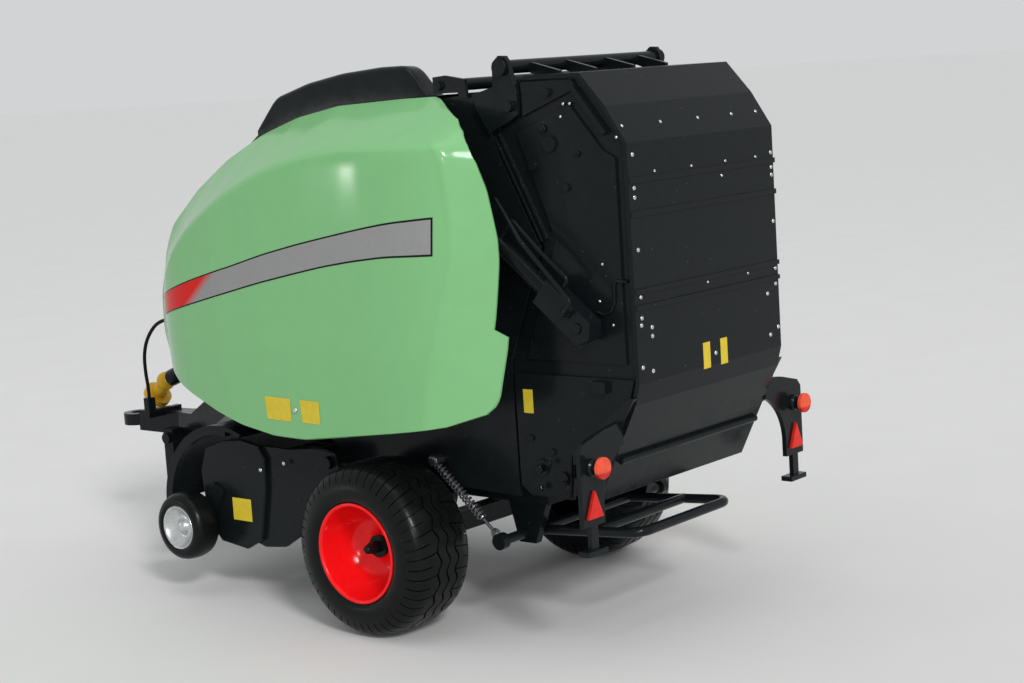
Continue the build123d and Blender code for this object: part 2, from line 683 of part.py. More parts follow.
def panel_form(inset):
    """The bulged body of a panel, drawn in all round by an inset."""
    back = 5.0 if inset else 0.0
    lift = back * tan(radians(shoulder_slope)) - inset * 1.1
    top = panel_top + lift
    nose = -69.6 - lift
    with BuildPart() as form:
        with BuildSketch(Plane.YZ.offset(panel_inner - back)):
            with BuildLine():
                Polyline(at((4.0, top)), at((60.0, top)), at((60.0, 0.0)), at((nose, 0.0)), at((nose, 57.0)))
                knee = (-60.6 - lift * 0.75, 75.4 + lift * 0.66)
                brow = (-67.8 - lift * 0.97, 66.0 + lift * 0.25)
                front_arc = ThreePointArc(at((nose, 57.0)), at(brow), at(knee))
                TangentArc(at(knee), at((4.0, top)), tangent=front_arc % 1)
            make_face()
        extrude(amount=panel_bulge + 0.4 + back, taper=shoulder_slope)
        with BuildSketch(Plane.XY):
            side = panel_half - inset
            front = panel_inner + 2.0 - inset
            with BuildLine():
                front_in = (front - 3.0, axle_y - 70.6)
                Polyline((0, axle_y + 60.0), (0, axle_y - 80.0), (front - 3.0, axle_y - 80.0), front_in)
                ThreePointArc(front_in, (front + 0.8, axle_y - 67.6), (side - 9.6, axle_y - 60.0))
                ThreePointArc((side - 9.6, axle_y - 60.0), (side - 3.0, axle_y - 35.6), (side, axle_y + 6.0))
                Polyline((side, axle_y + 6.0), (side, axle_y + 20.0), (side - 0.7, axle_y + 21.6))
                Polyline((side - 0.7, axle_y + 21.6), (flank_in, axle_y + 32.0 - inset), (0, axle_y + 60.0))
            make_face()
        extrude(amount=120, mode=Mode.INTERSECT)
        with BuildSketch(Plane.XZ.offset(-axle_y - 60)):
            with BuildLine():
                low, high = side - 3.0, side - 4.0
                Polyline((low, 20), (0, 20), (0, 120), (high, 120), (high, 112))
                ThreePointArc((low, 20), (side, 64), (high, 112))
            make_face()
        extrude(amount=140, mode=Mode.INTERSECT)
    return form.part


with BuildPart() as panel:
    add(panel_form(0))
    add(panel_form(panel_wall), mode=Mode.SUBTRACT)
    with BuildSketch(Plane.YZ.offset(panel_inner)):
        with BuildLine():
            Polyline(at((11.0, 97.4)), at((11.0, 120)), at((-80, 120)), at((-80, 56)), at((-69.4, 54.0)))
            ThreePointArc(at((-69.4, 54.0)), at((-66.4, 47.0)), at((-58.0, 43.0)))
            Line(at((-58.0, 43.0)), at((-44.0, 39.3)))
            ThreePointArc(at((-44.0, 39.3)), at((-20.0, 35.3)), at((-1.7, 36.9)))
            Line(at((-1.7, 36.9)), at((19.7, 40.0)))
            ThreePointArc(at((19.7, 40.0)), at((27.4, 42.4)), at((29.6, 47.4)))
            Polyline(at((29.6, 47.4)), at((30.8, 55.8)), at((28.9, 56.4)), at((30.2, 68.4)))
            ThreePointArc(at((30.2, 68.4)), at((29.6, 77.4)), at((27.6, 88.0)))
            Polyline(at((27.6, 88.0)), at((23.1, 92.6)), at((11.0, 97.4)))
        make_face()
    extrude(amount=30, mode=Mode.INTERSECT)
pieces["panel_left"] = panel.part

# ---- pickup --------------------------------------------------------------
base_plate = [
    (-52.6, 14.4), (-53.0, 24.4), (-51.2, 28.4), (-46.0, 30.6), (-38.0, 30.8), (-28.0, 30.6), (-20.6, 31.4),
    (-15.2, 30.9), (-14.6, 28.2), (-16.4, 26.4), (-20.1, 23.4), (-26.6, 13.6), (-31.0, 11.0), (-36.6, 10.4),
]
cover = [
    (-52.3, 14.4), (-53.2, 24.6), (-51.3, 29.3), (-46.0, 31.1), (-40.6, 31.7), (-35.6, 30.9), (-34.0, 28.4),
    (-34.4, 22.0), (-36.6, 12.0), (-41.3, 9.6), (-48.6, 10.5),
]
cover_wall = 1.0
housing_in = pickup_half - 1.8
shaft_bore = 0.9 + running_gap
with BuildPart() as chain_cover:
    add(plate(cover, pickup_half - cover_wall, pickup_half, holes=[(*reel, shaft_bore)]))
    fillet(chain_cover.faces().sort_by(Axis.X)[-1].outer_wire().edges(), 0.4)
pieces["pickup_frame"] = joined(
    both(plate(
        base_plate, housing_in, pickup_half - cover_wall,
        holes=[(*pickup_pivot, pickup_pivot_r + running_gap), (*reel, shaft_bore)],
    )),
    both(chain_cover.part),
    disc((-30.5, 27.4), 1.2, -housing_in, housing_in),
    plate(sheet_outline([(-25.0, 20.0), (-30.0, 13.0), (-35.6, 11.0)], wall), -housing_in, housing_in),
)
pieces["pickup_pivot_tube"] = disc(pickup_pivot, pickup_pivot_r, -pickup_half, pickup_half)
guard_middle = (-47.2, 16.5)
guard_r = 17.6


def guard_sector(r_out, r_in, x_low, x_high, last=68.0):
    """Part of a ring over the reel, from low in front to above the housing."""
    ends = (178.0, 120.0, last)
    outer = [on_circle(guard_middle, r_out, turn) for turn in ends]
    inner = [on_circle(guard_middle, r_in, turn) for turn in ends]
    with BuildPart() as sector:
        with BuildSketch(Plane.YZ.offset(x_low)):
            with BuildLine():
                ThreePointArc(*outer)
                Line(outer[2], inner[2])
                ThreePointArc(*inner[::-1])
                Line(inner[0], outer[0])
            make_face()
        extrude(amount=x_high - x_low)
    return sector.part


pieces["wind_guard"] = joined(
    guard_sector(guard_r, guard_r - wall, -pickup_half, pickup_half),
    both(guard_sector(guard_r, guard_r - 1.9, housing_in + play, pickup_half, 82.0)),
    both(plate([(-46.0, 26.0), (-48.0, 33.2), (-43.0, 33.0), (-43.0, 26.0)], housing_in - 0.5, housing_in)),
)

# strippers: bands round the reel with the tines between them
band_r = 7.8
band_wall = 0.6
band_width = 2.0
tine_rows = 13
tine_pitch = 2 * (housing_in - 1.6) / tine_rows
band_rear = (-33.0, -36.0)


def band_outline(r, rear_top, rear_low):
    """Face of a band's loop at one radius: open at the rear."""
    y, z = reel
    with BuildLine() as loop:
        Polyline(at((y, z - r)), at((rear_low, z - r)), at((rear_top, z + r)), at((y, z + r)))
        ThreePointArc(at((y, z + r)), at((y - r, z)), at((y, z - r)))
    return loop.line


with BuildPart() as strippers:
    for i in range(tine_rows + 1):
        x = -housing_in + 1.6 + i * tine_pitch
        with BuildSketch(Plane.YZ.offset(x - band_width / 2)):
            add(make_face(band_outline(band_r, band_rear[0], band_rear[1]), mode=Mode.PRIVATE))
            inside = band_outline(band_r - band_wall, band_rear[0] + 2, band_rear[1] + 2)
            add(make_face(inside, mode=Mode.PRIVATE), mode=Mode.SUBTRACT)
        extrude(amount=band_width)
    add(block(
        (-housing_in, housing_in), (band_rear[0] - 1.5, band_rear[0]),
        (reel[1] + band_r - band_wall, reel[1] + band_r),
    ))
pieces["pickup_strippers"] = strippers.part

tine_bars = 4
bar_ring = 5.4
bar_r = 0.6
tine_r = 0.28
reel_half = housing_in - 1.0
with BuildPart() as pickup_reel:
    add(disc(reel, 0.9, -pickup_half, pickup_half))
    for x in (-reel_half, -0.3, reel_half - 0.6):
        add(disc(reel, bar_ring + 1.0, x, x + 0.6))
    for bar in range(tine_bars):
        angle = radians(45 + 360 * bar / tine_bars)
        tip_angle = angle + radians(14)
        middle = (reel[0] + bar_ring * cos(angle), reel[1] + bar_ring * sin(angle))
        tip = (reel[0] + reel_r * cos(tip_angle), reel[1] + reel_r * sin(tip_angle))
        add(disc(middle, bar_r, -reel_half, reel_half))
        for row in range(tine_rows):
            x = -housing_in + 1.6 + (row + 0.5) * tine_pitch
            add(rod_between(middle, tip, tine_r, x))
pieces["pickup_reel"] = pickup_reel.part
gauge_arm = [(-55.5, 13.0), (-55.0, 16.0), (-49.0, 22.5), (-46.0, 21.0), (-51.0, 13.0)]
pieces["gauge_arm_left"] = joined(
    disc(gauge, gauge_pin_r, pickup_half, gauge_outer - 1.0),
    plate(gauge_arm, pickup_half, pickup_half + 0.7),
)

# ---- right-hand copies and export ---------------------------------------
for label in [label for label in pieces if label.endswith("_left")]:
    pieces[label.replace("_left", "_right")] = mirrored(pieces[label])

for label, solid in pieces.items():
    solid.label = label
    export_step(solid, f"parts/{label}.step")
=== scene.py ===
import math

import bmesh
import bpy
from bpy.props import FloatProperty, FloatVectorProperty, IntProperty, PointerProperty
from mathutils import Matrix, Vector


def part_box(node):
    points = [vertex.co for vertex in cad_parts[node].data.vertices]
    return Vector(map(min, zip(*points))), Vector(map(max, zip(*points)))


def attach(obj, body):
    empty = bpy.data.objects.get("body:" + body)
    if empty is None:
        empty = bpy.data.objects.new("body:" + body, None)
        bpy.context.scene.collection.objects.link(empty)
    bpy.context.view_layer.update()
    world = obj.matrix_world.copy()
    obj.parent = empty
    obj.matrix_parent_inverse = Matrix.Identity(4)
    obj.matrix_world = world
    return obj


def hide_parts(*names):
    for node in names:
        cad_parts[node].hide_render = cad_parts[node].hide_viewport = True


bl_info = {
    "name": "Round Baler Model",
    "version": (1, 0, 0),
    "blender": (4, 5, 0),
    "location": "3D View > Sidebar > Baler",
    "description": "Dresses a 1:32 round baler model: paint, rubber, moulded plastic and small parts",
    "category": "Object",
}

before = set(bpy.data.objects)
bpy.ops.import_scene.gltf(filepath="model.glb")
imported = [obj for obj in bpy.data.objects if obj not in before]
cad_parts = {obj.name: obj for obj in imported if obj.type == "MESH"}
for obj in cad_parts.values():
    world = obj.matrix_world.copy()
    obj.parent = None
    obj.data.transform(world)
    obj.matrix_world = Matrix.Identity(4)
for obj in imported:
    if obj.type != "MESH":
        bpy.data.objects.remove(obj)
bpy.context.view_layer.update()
MM = 0.001


# ---- places from the frame: millimetres to a micron ----------------------
def box_of(part):
    """Lowest and highest corner of a carried-over part."""
    return [[round(value / MM, 3) for value in corner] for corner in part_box(part)]


def middle_of(part):
    """Middle of a carried-over part's box."""
    return [(low + high) / 2 for low, high in zip(*box_of(part))]


# a side point is (y from the axle, height); x is out from the model's middle
AXLE_Y, AXLE_Z = middle_of("tyre_left")[1:]
WHEEL = (0.0, AXLE_Z)
GAUGE_WHEEL = (middle_of("gauge_rim_left")[1] - AXLE_Y, middle_of("gauge_rim_left")[2])
LAMP_X = middle_of("lamp_left")[0]
FAIRING_IN, FAIRING_OUT = (corner[0] for corner in box_of("top_fairing"))
PICKUP_FACE_X = box_of("pickup_frame")[1][0]
GATE_SIDE_X = box_of("tailgate_side_left")[1][0]


# ---- materials -----------------------------------------------------------
# parts of the noise between which the colour and the gloss change
CLOUD_SPAN = (0.35, 0.65)
GLOSS_SPAN = (0.3, 0.7)
# the gloss changes over wider spots than the colour
SHEEN_SHARE = 0.4
# the skin texture: its scale and its height in millimetres
SKIN_GRAIN = 1800.0
SKIN_RELIEF = 0.02
# pale specks, partly dust and partly painted glints of light: their scale, from rim to heart, and their
# colour
DUST_AND_GLINT_GRAIN = 420.0
DUST_AND_GLINT_SPAN = (0.06, 0.02)
DUST_AND_GLINT_COLOUR = (0.55, 0.55, 0.52)


def node(tree, kind, place, **values):
    """Adds a node; values are its attributes or its inputs by name."""
    made = tree.nodes.new(kind)
    made.location = place
    for key, value in values.items():
        if key in made.inputs:
            made.inputs[key].default_value = value
        else:
            setattr(made, key, value)
    return made


def ranged(tree, place, source, span, result):
    """Turns a span of a value into another span."""
    made = node(tree, "ShaderNodeMapRange", place)
    for key, value in zip(("From Min", "From Max", "To Min", "To Max"), (*span, *result)):
        made.inputs[key].default_value = value
    tree.links.new(source, made.inputs["Value"])
    return made.outputs[0]


def laid_over(tree, place, share, under, colour):
    """Lays a colour over what is under it, as thick as the share says."""
    made = node(tree, "ShaderNodeMix", place, data_type="RGBA")
    tree.links.new(share, made.inputs["Factor"])
    tree.links.new(under, made.inputs[6])
    made.inputs[7].default_value = (*colour, 1)
    return made.outputs[2]


def worked(tree, place, operation, *sources):
    """A sum of links and fixed numbers."""
    made = node(tree, "ShaderNodeMath", place, operation=operation)
    for socket, source in zip(made.inputs, sources):
        if isinstance(source, float):
            socket.default_value = source
        else:
            tree.links.new(source, socket)
    return made.outputs[0]


def moulded(name, colour, shade=0.08, grain=900.0, rough=0.35, rough_spread=0.06, bump=0.1, edge=0.12,
            dust_and_glints=0.0, metallic=0.0, specular=0.5):
    """A finish with its own cloudiness, gloss changes, skin texture, softened edges (mm), and pale specks
    that are partly dust and partly painted glints.
    """
    made = bpy.data.materials.new(name)
    made.use_nodes = True
    tree = made.node_tree
    tree.nodes.clear()
    link = tree.links.new
    out = node(tree, "ShaderNodeOutputMaterial", (900, 0))
    shader = node(tree, "ShaderNodeBsdfPrincipled", (600, 0))
    shader.inputs["Metallic"].default_value = metallic
    shader.inputs["Specular IOR Level"].default_value = specular
    link(shader.outputs[0], out.inputs[0])
    where = node(tree, "ShaderNodeTexCoord", (-1200, 0)).outputs["Object"]

    clouds = node(tree, "ShaderNodeTexNoise", (-900, 300), Scale=grain, Detail=4.0, Roughness=0.55)
    link(where, clouds.inputs["Vector"])
    ramp = node(tree, "ShaderNodeValToRGB", (-600, 300))
    for stop, position, change in zip(ramp.color_ramp.elements, CLOUD_SPAN, (1 - shade, 1 + shade)):
        stop.position = position
        stop.color = (*[min(1.0, part * change) for part in colour], 1)
    link(clouds.outputs[0], ramp.inputs[0])
    skin = ramp.outputs[0]

    # pale specks mixed into the base colour: partly dust, partly painted glints of light
    if dust_and_glints:
        specks = node(tree, "ShaderNodeTexVoronoi", (-900, 1000), Scale=DUST_AND_GLINT_GRAIN)
        link(where, specks.inputs["Vector"])
        speck = ranged(tree, (-600, 1000), specks.outputs["Distance"], DUST_AND_GLINT_SPAN, (0.0, dust_and_glints))
        skin = laid_over(tree, (0, 500), speck, skin, DUST_AND_GLINT_COLOUR)
    link(skin, shader.inputs["Base Color"])

    sheen = node(tree, "ShaderNodeTexNoise", (-900, -100), Scale=grain * SHEEN_SHARE, Detail=3.0)
    link(where, sheen.inputs["Vector"])
    rough_span = (rough - rough_spread, rough + rough_spread)
    gloss = ranged(tree, (-600, -100), sheen.outputs[0], GLOSS_SPAN, rough_span)
    link(gloss, shader.inputs["Roughness"])

    peel = node(tree, "ShaderNodeTexNoise", (-900, -500), Scale=SKIN_GRAIN, Detail=3.0)
    link(where, peel.inputs["Vector"])
    relief = node(tree, "ShaderNodeBump", (0, -400), Strength=bump, Distance=SKIN_RELIEF * MM)
    link(peel.outputs[0], relief.inputs["Height"])
    if edge:
        soft = node(tree, "ShaderNodeBevel", (-300, -600), samples=4, Radius=edge * MM)
        link(soft.outputs[0], relief.inputs["Normal"])
    link(relief.outputs[0], shader.inputs["Normal"])
    return made


def recoloured(material, change):
    """The same finish with its base colour changed by change(tree, colour)."""
    tree = material.node_tree
    shader = next(n for n in tree.nodes if n.type == "BSDF_PRINCIPLED")
    socket = shader.inputs["Base Color"]
    tree.links.new(change(tree, socket.links[0].from_socket), socket)
    return material


def paint(piece, material):
    """Gives a piece one finish all over."""
    piece.data.materials.clear()
    piece.data.materials.append(material)


# ---- mesh helpers: millimetres, y from the axle --------------------------
OUT = (1, 0, 0)
BACK = (0, 1, 0)


def make(name, points, faces, body, materials, kinds=None, angle=40.0):
    """A mesh piece that moves with a body; kinds gives each face its material's place."""
    mesh = bpy.data.meshes.new(name)
    mesh.from_pydata([(x * MM, (y + AXLE_Y) * MM, z * MM) for x, y, z in points], [], faces)
    for material in materials:
        mesh.materials.append(material)
    if kinds:
        mesh.polygons.foreach_set("material_index", kinds)
    mesh.polygons.foreach_set("use_smooth", [True] * len(mesh.polygons))
    mesh.set_sharp_from_angle(angle=math.radians(angle))
    mesh.update()
    piece = bpy.data.objects.new(name, mesh)
    bpy.context.scene.collection.objects.link(piece)
    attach(piece, body)
    return piece


def mirrored(points, faces):
    """The right-hand twin of a left-hand shape."""
    return [(-x, y, z) for x, y, z in points], [face[::-1] for face in faces]


def pair(name, points, faces, bodies, materials, kinds=None, angle=40.0, nodes=()):
    """The left-hand piece and its mirror image; each stands for its own carried-over parts."""
    made = []
    for side, body in zip(("left", "right"), bodies):
        shape = (points, faces) if side == "left" else mirrored(points, faces)
        piece = make(f"{name}_{side}", *shape, body, materials, kinds, angle)
        if nodes:
            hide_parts(*[f"{part}_{side}" for part in nodes])
        made.append(piece)
    return made


def grid_faces(rows, columns, close_rows=False, close_columns=False, start=0):
    """Quads between rows of points laid out one after another."""
    faces = []
    for i in range(rows if close_rows else rows - 1):
        for j in range(columns if close_columns else columns - 1):
            a, b = i * columns, (i + 1) % rows * columns
            k = (j + 1) % columns
            faces.append((start + a + j, start + b + j, start + b + k, start + a + k))
    return faces


def turned(outline, x_face, centre, turns, close=True):
    """An outline of (depth in from a face, radius) turned about a cross axis."""
    points = []
    for step in range(turns):
        angle = 2 * math.pi * step / turns
        for depth, r in outline:
            points.append((x_face - depth, centre[0] + r * math.cos(angle), centre[1] + r * math.sin(angle)))
    faces = grid_faces(turns, len(outline), close_rows=True, close_columns=close)
    return points, faces


def joined(*shapes):
    """Several (points, faces) as one."""
    points, faces = [], []
    for more, ring in shapes:
        start = len(points)
        points += more
        faces += [tuple(start + i for i in face) for face in ring]
    return points, faces


def frame_of(axis):
    """Two directions square to an axis."""
    axis = Vector(axis).normalized()
    helper = Vector((0, 0, 1)) if abs(axis.z) < 0.9 else Vector((1, 0, 0))
    side = axis.cross(helper).normalized()
    return axis, side, side.cross(axis)


def end_caps(rows, size):
    """The two end faces of rows of points that form a closed tube."""
    return [tuple(range(size)), tuple(range(rows * size - 1, (rows - 1) * size - 1, -1))]


def stack(place, axis, rings, sides):
    """Rings of (height, radius) along an axis, closed at both ends: bolts, caps, bosses, lenses."""
    axis, side, up = frame_of(axis)
    place = Vector(place)
    points = []
    for height, r in rings:
        for step in range(sides):
            angle = 2 * math.pi * step / sides
            points.append(tuple(place + axis * height + (side * math.cos(angle) + up * math.sin(angle)) * r))
    return points, grid_faces(len(rings), sides, close_columns=True) + end_caps(len(rings), sides)


def rivet(place, axis, r, height):
    """A domed head on a surface."""
    rings = ((-0.1, r), (height * 0.45, r), (height * 0.8, r * 0.8), (height, r * 0.35))
    return stack(place, axis, rings, 10)


def nut(place, axis, r, height):
    """A hexagon nut with the end of its bolt."""
    hexagon = ((-0.1, r * 0.9), (0.0, r), (height * 0.8, r), (height, r * 0.86))
    thread = ((height, r * 0.5), (height * 1.5, r * 0.45))
    return joined(stack(place, axis, hexagon, 6), stack(place, axis, thread, 10))


def swept(route, r, sides):
    """A round wire along a route, with flat ends."""
    route = [Vector(p) for p in route]
    points = []
    side = None
    for i, place in enumerate(route):
        ahead = (route[min(i + 1, len(route) - 1)] - route[max(i - 1, 0)]).normalized()
        if side is None:
            side = frame_of(ahead)[1]
        side = (side - ahead * side.dot(ahead)).normalized()
        up = ahead.cross(side)
        for step in range(sides):
            angle = 2 * math.pi * step / sides
            points.append(tuple(place + (side * math.cos(angle) + up * math.sin(angle)) * r))
    return points, grid_faces(len(route), sides, close_columns=True) + end_caps(len(route), sides)


def boxed(x, y, z, chamfer):
    """A box from its (low, high) spans with cut corners."""
    points = []
    for i, layer in enumerate((z[0], z[0] + chamfer, z[1] - chamfer, z[1])):
        inset = chamfer if i in (0, 3) else 0.0
        x0, x1, y0, y1 = x[0] + inset, x[1] - inset, y[0] + inset, y[1] - inset
        near_x, far_x, near_y, far_y = x0 + chamfer, x1 - chamfer, y0 + chamfer, y1 - chamfer
        points += [
            (near_x, y0, layer), (far_x, y0, layer), (x1, near_y, layer), (x1, far_y, layer),
            (far_x, y1, layer), (near_x, y1, layer), (x0, far_y, layer), (x0, near_y, layer),
        ]
    faces = [face[::-1] for face in grid_faces(4, 8, close_columns=True)]
    faces.append(tuple(range(7, -1, -1)))
    faces.append(tuple(range(24, 32)))
    return points, faces


def along_table(table, at):
    """Value of a (place, value) table at a place, straight between its points."""
    if at <= table[0][0]:
        return table[0][1]
    for (a, va), (b, vb) in zip(table, table[1:]):
        if at <= b:
            return va + (vb - va) * (at - a) / (b - a)
    return table[-1][1]


def smooth_table(table, at, reach):
    """The same with its corners rounded over a reach."""
    spots = (-1.0, -0.5, 0.0, 0.5, 1.0)
    return sum(along_table(table, at + reach * spot) for spot in spots) / len(spots)


# ---- side panels ---------------------------------------------------------
PANEL_ROOF = (
    (-67.5, 52.5), (-67.3, 58.0), (-66.8, 62.5), (-65.8, 66.6), (-62.4, 73.3), (-53.8, 80.4), (-44.1, 86.3),
    (-33.3, 91.0), (-23.3, 93.9), (-12.4, 95.7), (4.0, 96.4), (12.3, 96.5), (32.0, 96.5),
)
PANEL_TOP = (*PANEL_ROOF[:-1], (14.7, 95.7), (17.9, 94.5), (20.4, 93.6))
PANEL_BOTTOM = (
    (-67.5, 51.5), (-67.0, 49.9), (-66.1, 48.5), (-62.4, 44.6), (-56.0, 42.4), (-49.1, 40.6), (-41.3, 38.4),
    (-32.4, 36.5), (-23.1, 35.4), (-14.3, 35.4), (-1.7, 37.0), (12.5, 38.8), (20.4, 39.9),
)
PANEL_PLAN = (
    (-67.5, 21.8), (-66.5, 22.5), (-64.0, 24.5), (-60.0, 27.4), (-55.0, 29.9), (-50.0, 31.6), (-36.0, 34.6),
    (-22.0, 36.2), (-10.0, 37.0), (2.0, 37.5), (8.0, 37.6), (14.0, 37.3), (20.0, 36.4), (24.0, 35.2),
    (28.0, 33.5), (32.0, 31.4),
)
PANEL_CREASE = (
    (-67.5, 57.0), (-62.0, 62.8), (-50.3, 71.2), (-45.0, 74.4), (-38.8, 77.4), (-32.0, 80.4), (-25.3, 82.9),
    (-18.9, 85.0), (-12.8, 86.5), (-7.1, 87.5), (-1.4, 88.2), (5.4, 88.6), (32.0, 88.6),
)
PANEL_TOP_X = 22.0
PANEL_SKIN = 0.9
# by height: where the side turns into the flank, and the y and x of the flank's rear end
PANEL_TURN = (
    (39.5, 16.9), (45.6, 18.3), (52.0, 20.2), (58.3, 21.9), (64.5, 23.8), (69.2, 25.2), (73.9, 25.5),
    (80.9, 25.0), (84.5, 24.7), (87.9, 24.1), (90.5, 20.5), (93.8, 15.9), (96.4, 11.5),
)
FLANK_END = (
    (45.3, 29.3, 29.7), (53.0, 30.0, 29.0), (58.4, 29.5, 29.4), (63.5, 29.8, 29.2), (68.2, 30.2, 28.8),
    (72.0, 30.2, 28.8), (76.3, 29.7, 29.2), (80.6, 29.2, 29.7), (84.9, 28.4, 30.5), (88.3, 26.6, 31.0),
    (90.8, 24.8, 30.2), (92.6, 22.4, 28.9), (93.8, 19.7, 27.2), (94.5, 17.9, 25.6), (96.4, 12.3, 21.9),
)
# rear edge, from bottom to top: share of the height, y, z
PANEL_REAR = (
    (0.0, 27.0, 42.0), (0.03, 28.7, 43.7), (0.07, 29.2, 45.3), (0.14, 29.8, 48.8), (0.23, 30.5, 53.0),
    (0.289, 30.8, 55.6), (0.300, 28.9, 56.5), (0.345, 29.2, 58.4), (0.44, 29.8, 63.5), (0.527, 30.2, 68.2),
    (0.60, 30.2, 72.0), (0.68, 29.7, 76.3), (0.76, 29.2, 80.6), (0.84, 28.2, 84.9), (0.90, 26.6, 88.3),
    (0.95, 24.8, 90.8), (1.0, 22.2, 92.9),
)


# how far the corners of each line above are rounded
PLAN_ROUND, ROOF_ROUND, CREASE_ROUND, TURN_ROUND, FLANK_ROUND = 2.0, 1.5, 3.0, 1.5, 0.8
FLANK_END_Y = [(z, y) for z, y, x in FLANK_END]
FLANK_END_X = [(z, x) for z, y, x in FLANK_END]
PANEL_REAR_Y = [(share, y) for share, y, z in PANEL_REAR]
PANEL_REAR_Z = [(share, z) for share, y, z in PANEL_REAR]
PANEL_NOSE_Y = PANEL_TOP[0][0]
PANEL_FLANK_Y = PANEL_TOP[-1][0]
# the shoulder above the crease: its softness and its least height
SHOULDER_SOFT = 0.4
SHOULDER_LEAST = 3.0
GROOVE_DEPTH = 0.13
GROOVE_HALF = 0.35
# the side tucks in under this height
TUCK_Z = 52.0
TUCK_RATE = 0.05
TUCK_POWER = 1.1
# half the length over which side and flank blend
TURN_BLEND = 1.3
# columns along the side and the flank, rows under, beside and over the crease, and the crease's half band
SIDE_COLUMNS, FLANK_COLUMNS = 120, 22
ROWS_UNDER, ROWS_BESIDE, ROWS_OVER = 38, 3, 14
CREASE_BAND = 0.9
# the band at the crease takes at most this share of the height
BAND_SHARE = 1 / 6
# the flank is at least this long
FLANK_LEAST = 0.5
# how far to each side the slope is read for the inner skin, along and up
SKIN_REACH = (0.3, 0.5)
# the rim bulges away from this middle
PANEL_MIDDLE = Vector((0, -24.0, 66.0))
PANEL_RIM_BULGE = 0.3


def side_x(y, z):
    """How far out the panel's long side stands, with its shoulder and groove at the crease."""
    wide = smooth_table(PANEL_PLAN, y, PLAN_ROUND)
    crease = smooth_table(PANEL_CREASE, y, CREASE_ROUND)
    shoulder = max(smooth_table(PANEL_ROOF, y, ROOF_ROUND) - crease, SHOULDER_LEAST)
    above = z - crease
    rise = 0.5 * (above + math.hypot(above, SHOULDER_SOFT))
    tuck = TUCK_RATE * max(0.0, TUCK_Z - z) ** TUCK_POWER
    groove = GROOVE_DEPTH * math.exp(-(above / GROOVE_HALF) ** 2)
    return wide - rise / shoulder * (wide - PANEL_TOP_X) - tuck - groove


def panel_x(y, z):
    """How far out the panel's skin stands at a side point: the side, then the flank behind the turn."""
    turn = smooth_table(PANEL_TURN, z, TURN_ROUND)
    if y < turn - TURN_BLEND:
        return side_x(y, z)
    end_y = smooth_table(FLANK_END_Y, z, FLANK_ROUND)
    end_x = smooth_table(FLANK_END_X, z, FLANK_ROUND)
    start = side_x(turn, z)
    flank = start + (end_x - start) * (y - turn) / max(end_y - turn, FLANK_LEAST)
    share = min(1.0, (y - turn + TURN_BLEND) / (2 * TURN_BLEND))
    share = share * share * (3 - 2 * share)
    return side_x(y, z) * (1 - share) + flank * share


def panel_out(y, z, step_y, step_z):
    """Direction straight out of the panel's skin at a side point."""
    slope_y = (panel_x(y + step_y, z) - panel_x(y - step_y, z)) / (2 * step_y)
    slope_z = (panel_x(y, z + step_z) - panel_x(y, z - step_z)) / (2 * step_z)
    return Vector((1, -slope_y, -slope_z)).normalized()


def side_column(y):
    """One column of the side from bottom to top, with its rows closer together at the crease."""
    low, high = along_table(PANEL_BOTTOM, y), along_table(PANEL_TOP, y)
    band = min(CREASE_BAND, (high - low) * BAND_SHARE)
    crease = min(max(smooth_table(PANEL_CREASE, y, CREASE_ROUND), low + 2 * band), high - 2 * band)
    heights = [low + (crease - band - low) * k / ROWS_UNDER for k in range(ROWS_UNDER)]
    heights += [crease + band * k / ROWS_BESIDE for k in range(-ROWS_BESIDE, ROWS_BESIDE + 1)]
    heights += [crease + band + (high - crease - band) * k / ROWS_OVER for k in range(1, ROWS_OVER + 1)]
    return [(y, z) for z in heights]


def panel_columns():
    """The panel's columns of side points from the nose, where they are closer together, to the rear edge."""
    columns = []
    for i in range(SIDE_COLUMNS + 1):
        share = i / SIDE_COLUMNS
        share = share * share * (1.6 - 0.6 * share)
        columns.append(side_column(PANEL_NOSE_Y + share * (PANEL_FLANK_Y - PANEL_NOSE_Y)))
    last = columns[-1]
    low, high = last[0][1], last[-1][1]
    shares = [(z - low) / (high - low) for y, z in last]
    edge = [(along_table(PANEL_REAR_Y, share), along_table(PANEL_REAR_Z, share)) for share in shares]
    for i in range(1, FLANK_COLUMNS + 1):
        share = i / FLANK_COLUMNS
        columns.append([
            (y + (y_end - y) * share, z + (z_end - z) * share) for (y, z), (y_end, z_end) in zip(last, edge)
        ])
    return columns


def panel_shell():
    """Points and faces of the left panel: two skins joined by a rounded rim."""
    columns = panel_columns()
    count, height = len(columns), len(columns[0])
    outer = [(panel_x(*column[row]), *column[row]) for row in range(height) for column in columns]
    inner = [tuple(Vector((x, y, z)) - panel_out(y, z, *SKIN_REACH) * PANEL_SKIN) for x, y, z in outer]
    size = len(outer)
    faces = grid_faces(height, count) + [face[::-1] for face in grid_faces(height, count, start=size)]
    ring = (
        list(range(count))
        + [row * count + count - 1 for row in range(1, height)]
        + [(height - 1) * count + i for i in range(count - 2, -1, -1)]
        + [row * count for row in range(height - 2, 0, -1)]
    )
    rim = []
    for i in ring:
        half = (Vector(outer[i]) + Vector(inner[i])) / 2
        away = half - PANEL_MIDDLE
        away.x = 0
        rim.append(tuple(half + away.normalized() * PANEL_RIM_BULGE))
    start = 2 * size
    for k, a in enumerate(ring):
        after = (k + 1) % len(ring)
        b = ring[after]
        faces.append((b, a, start + k, start + after))
        faces.append((start + after, start + k, size + a, size + b))
    return outer + inner + rim, faces


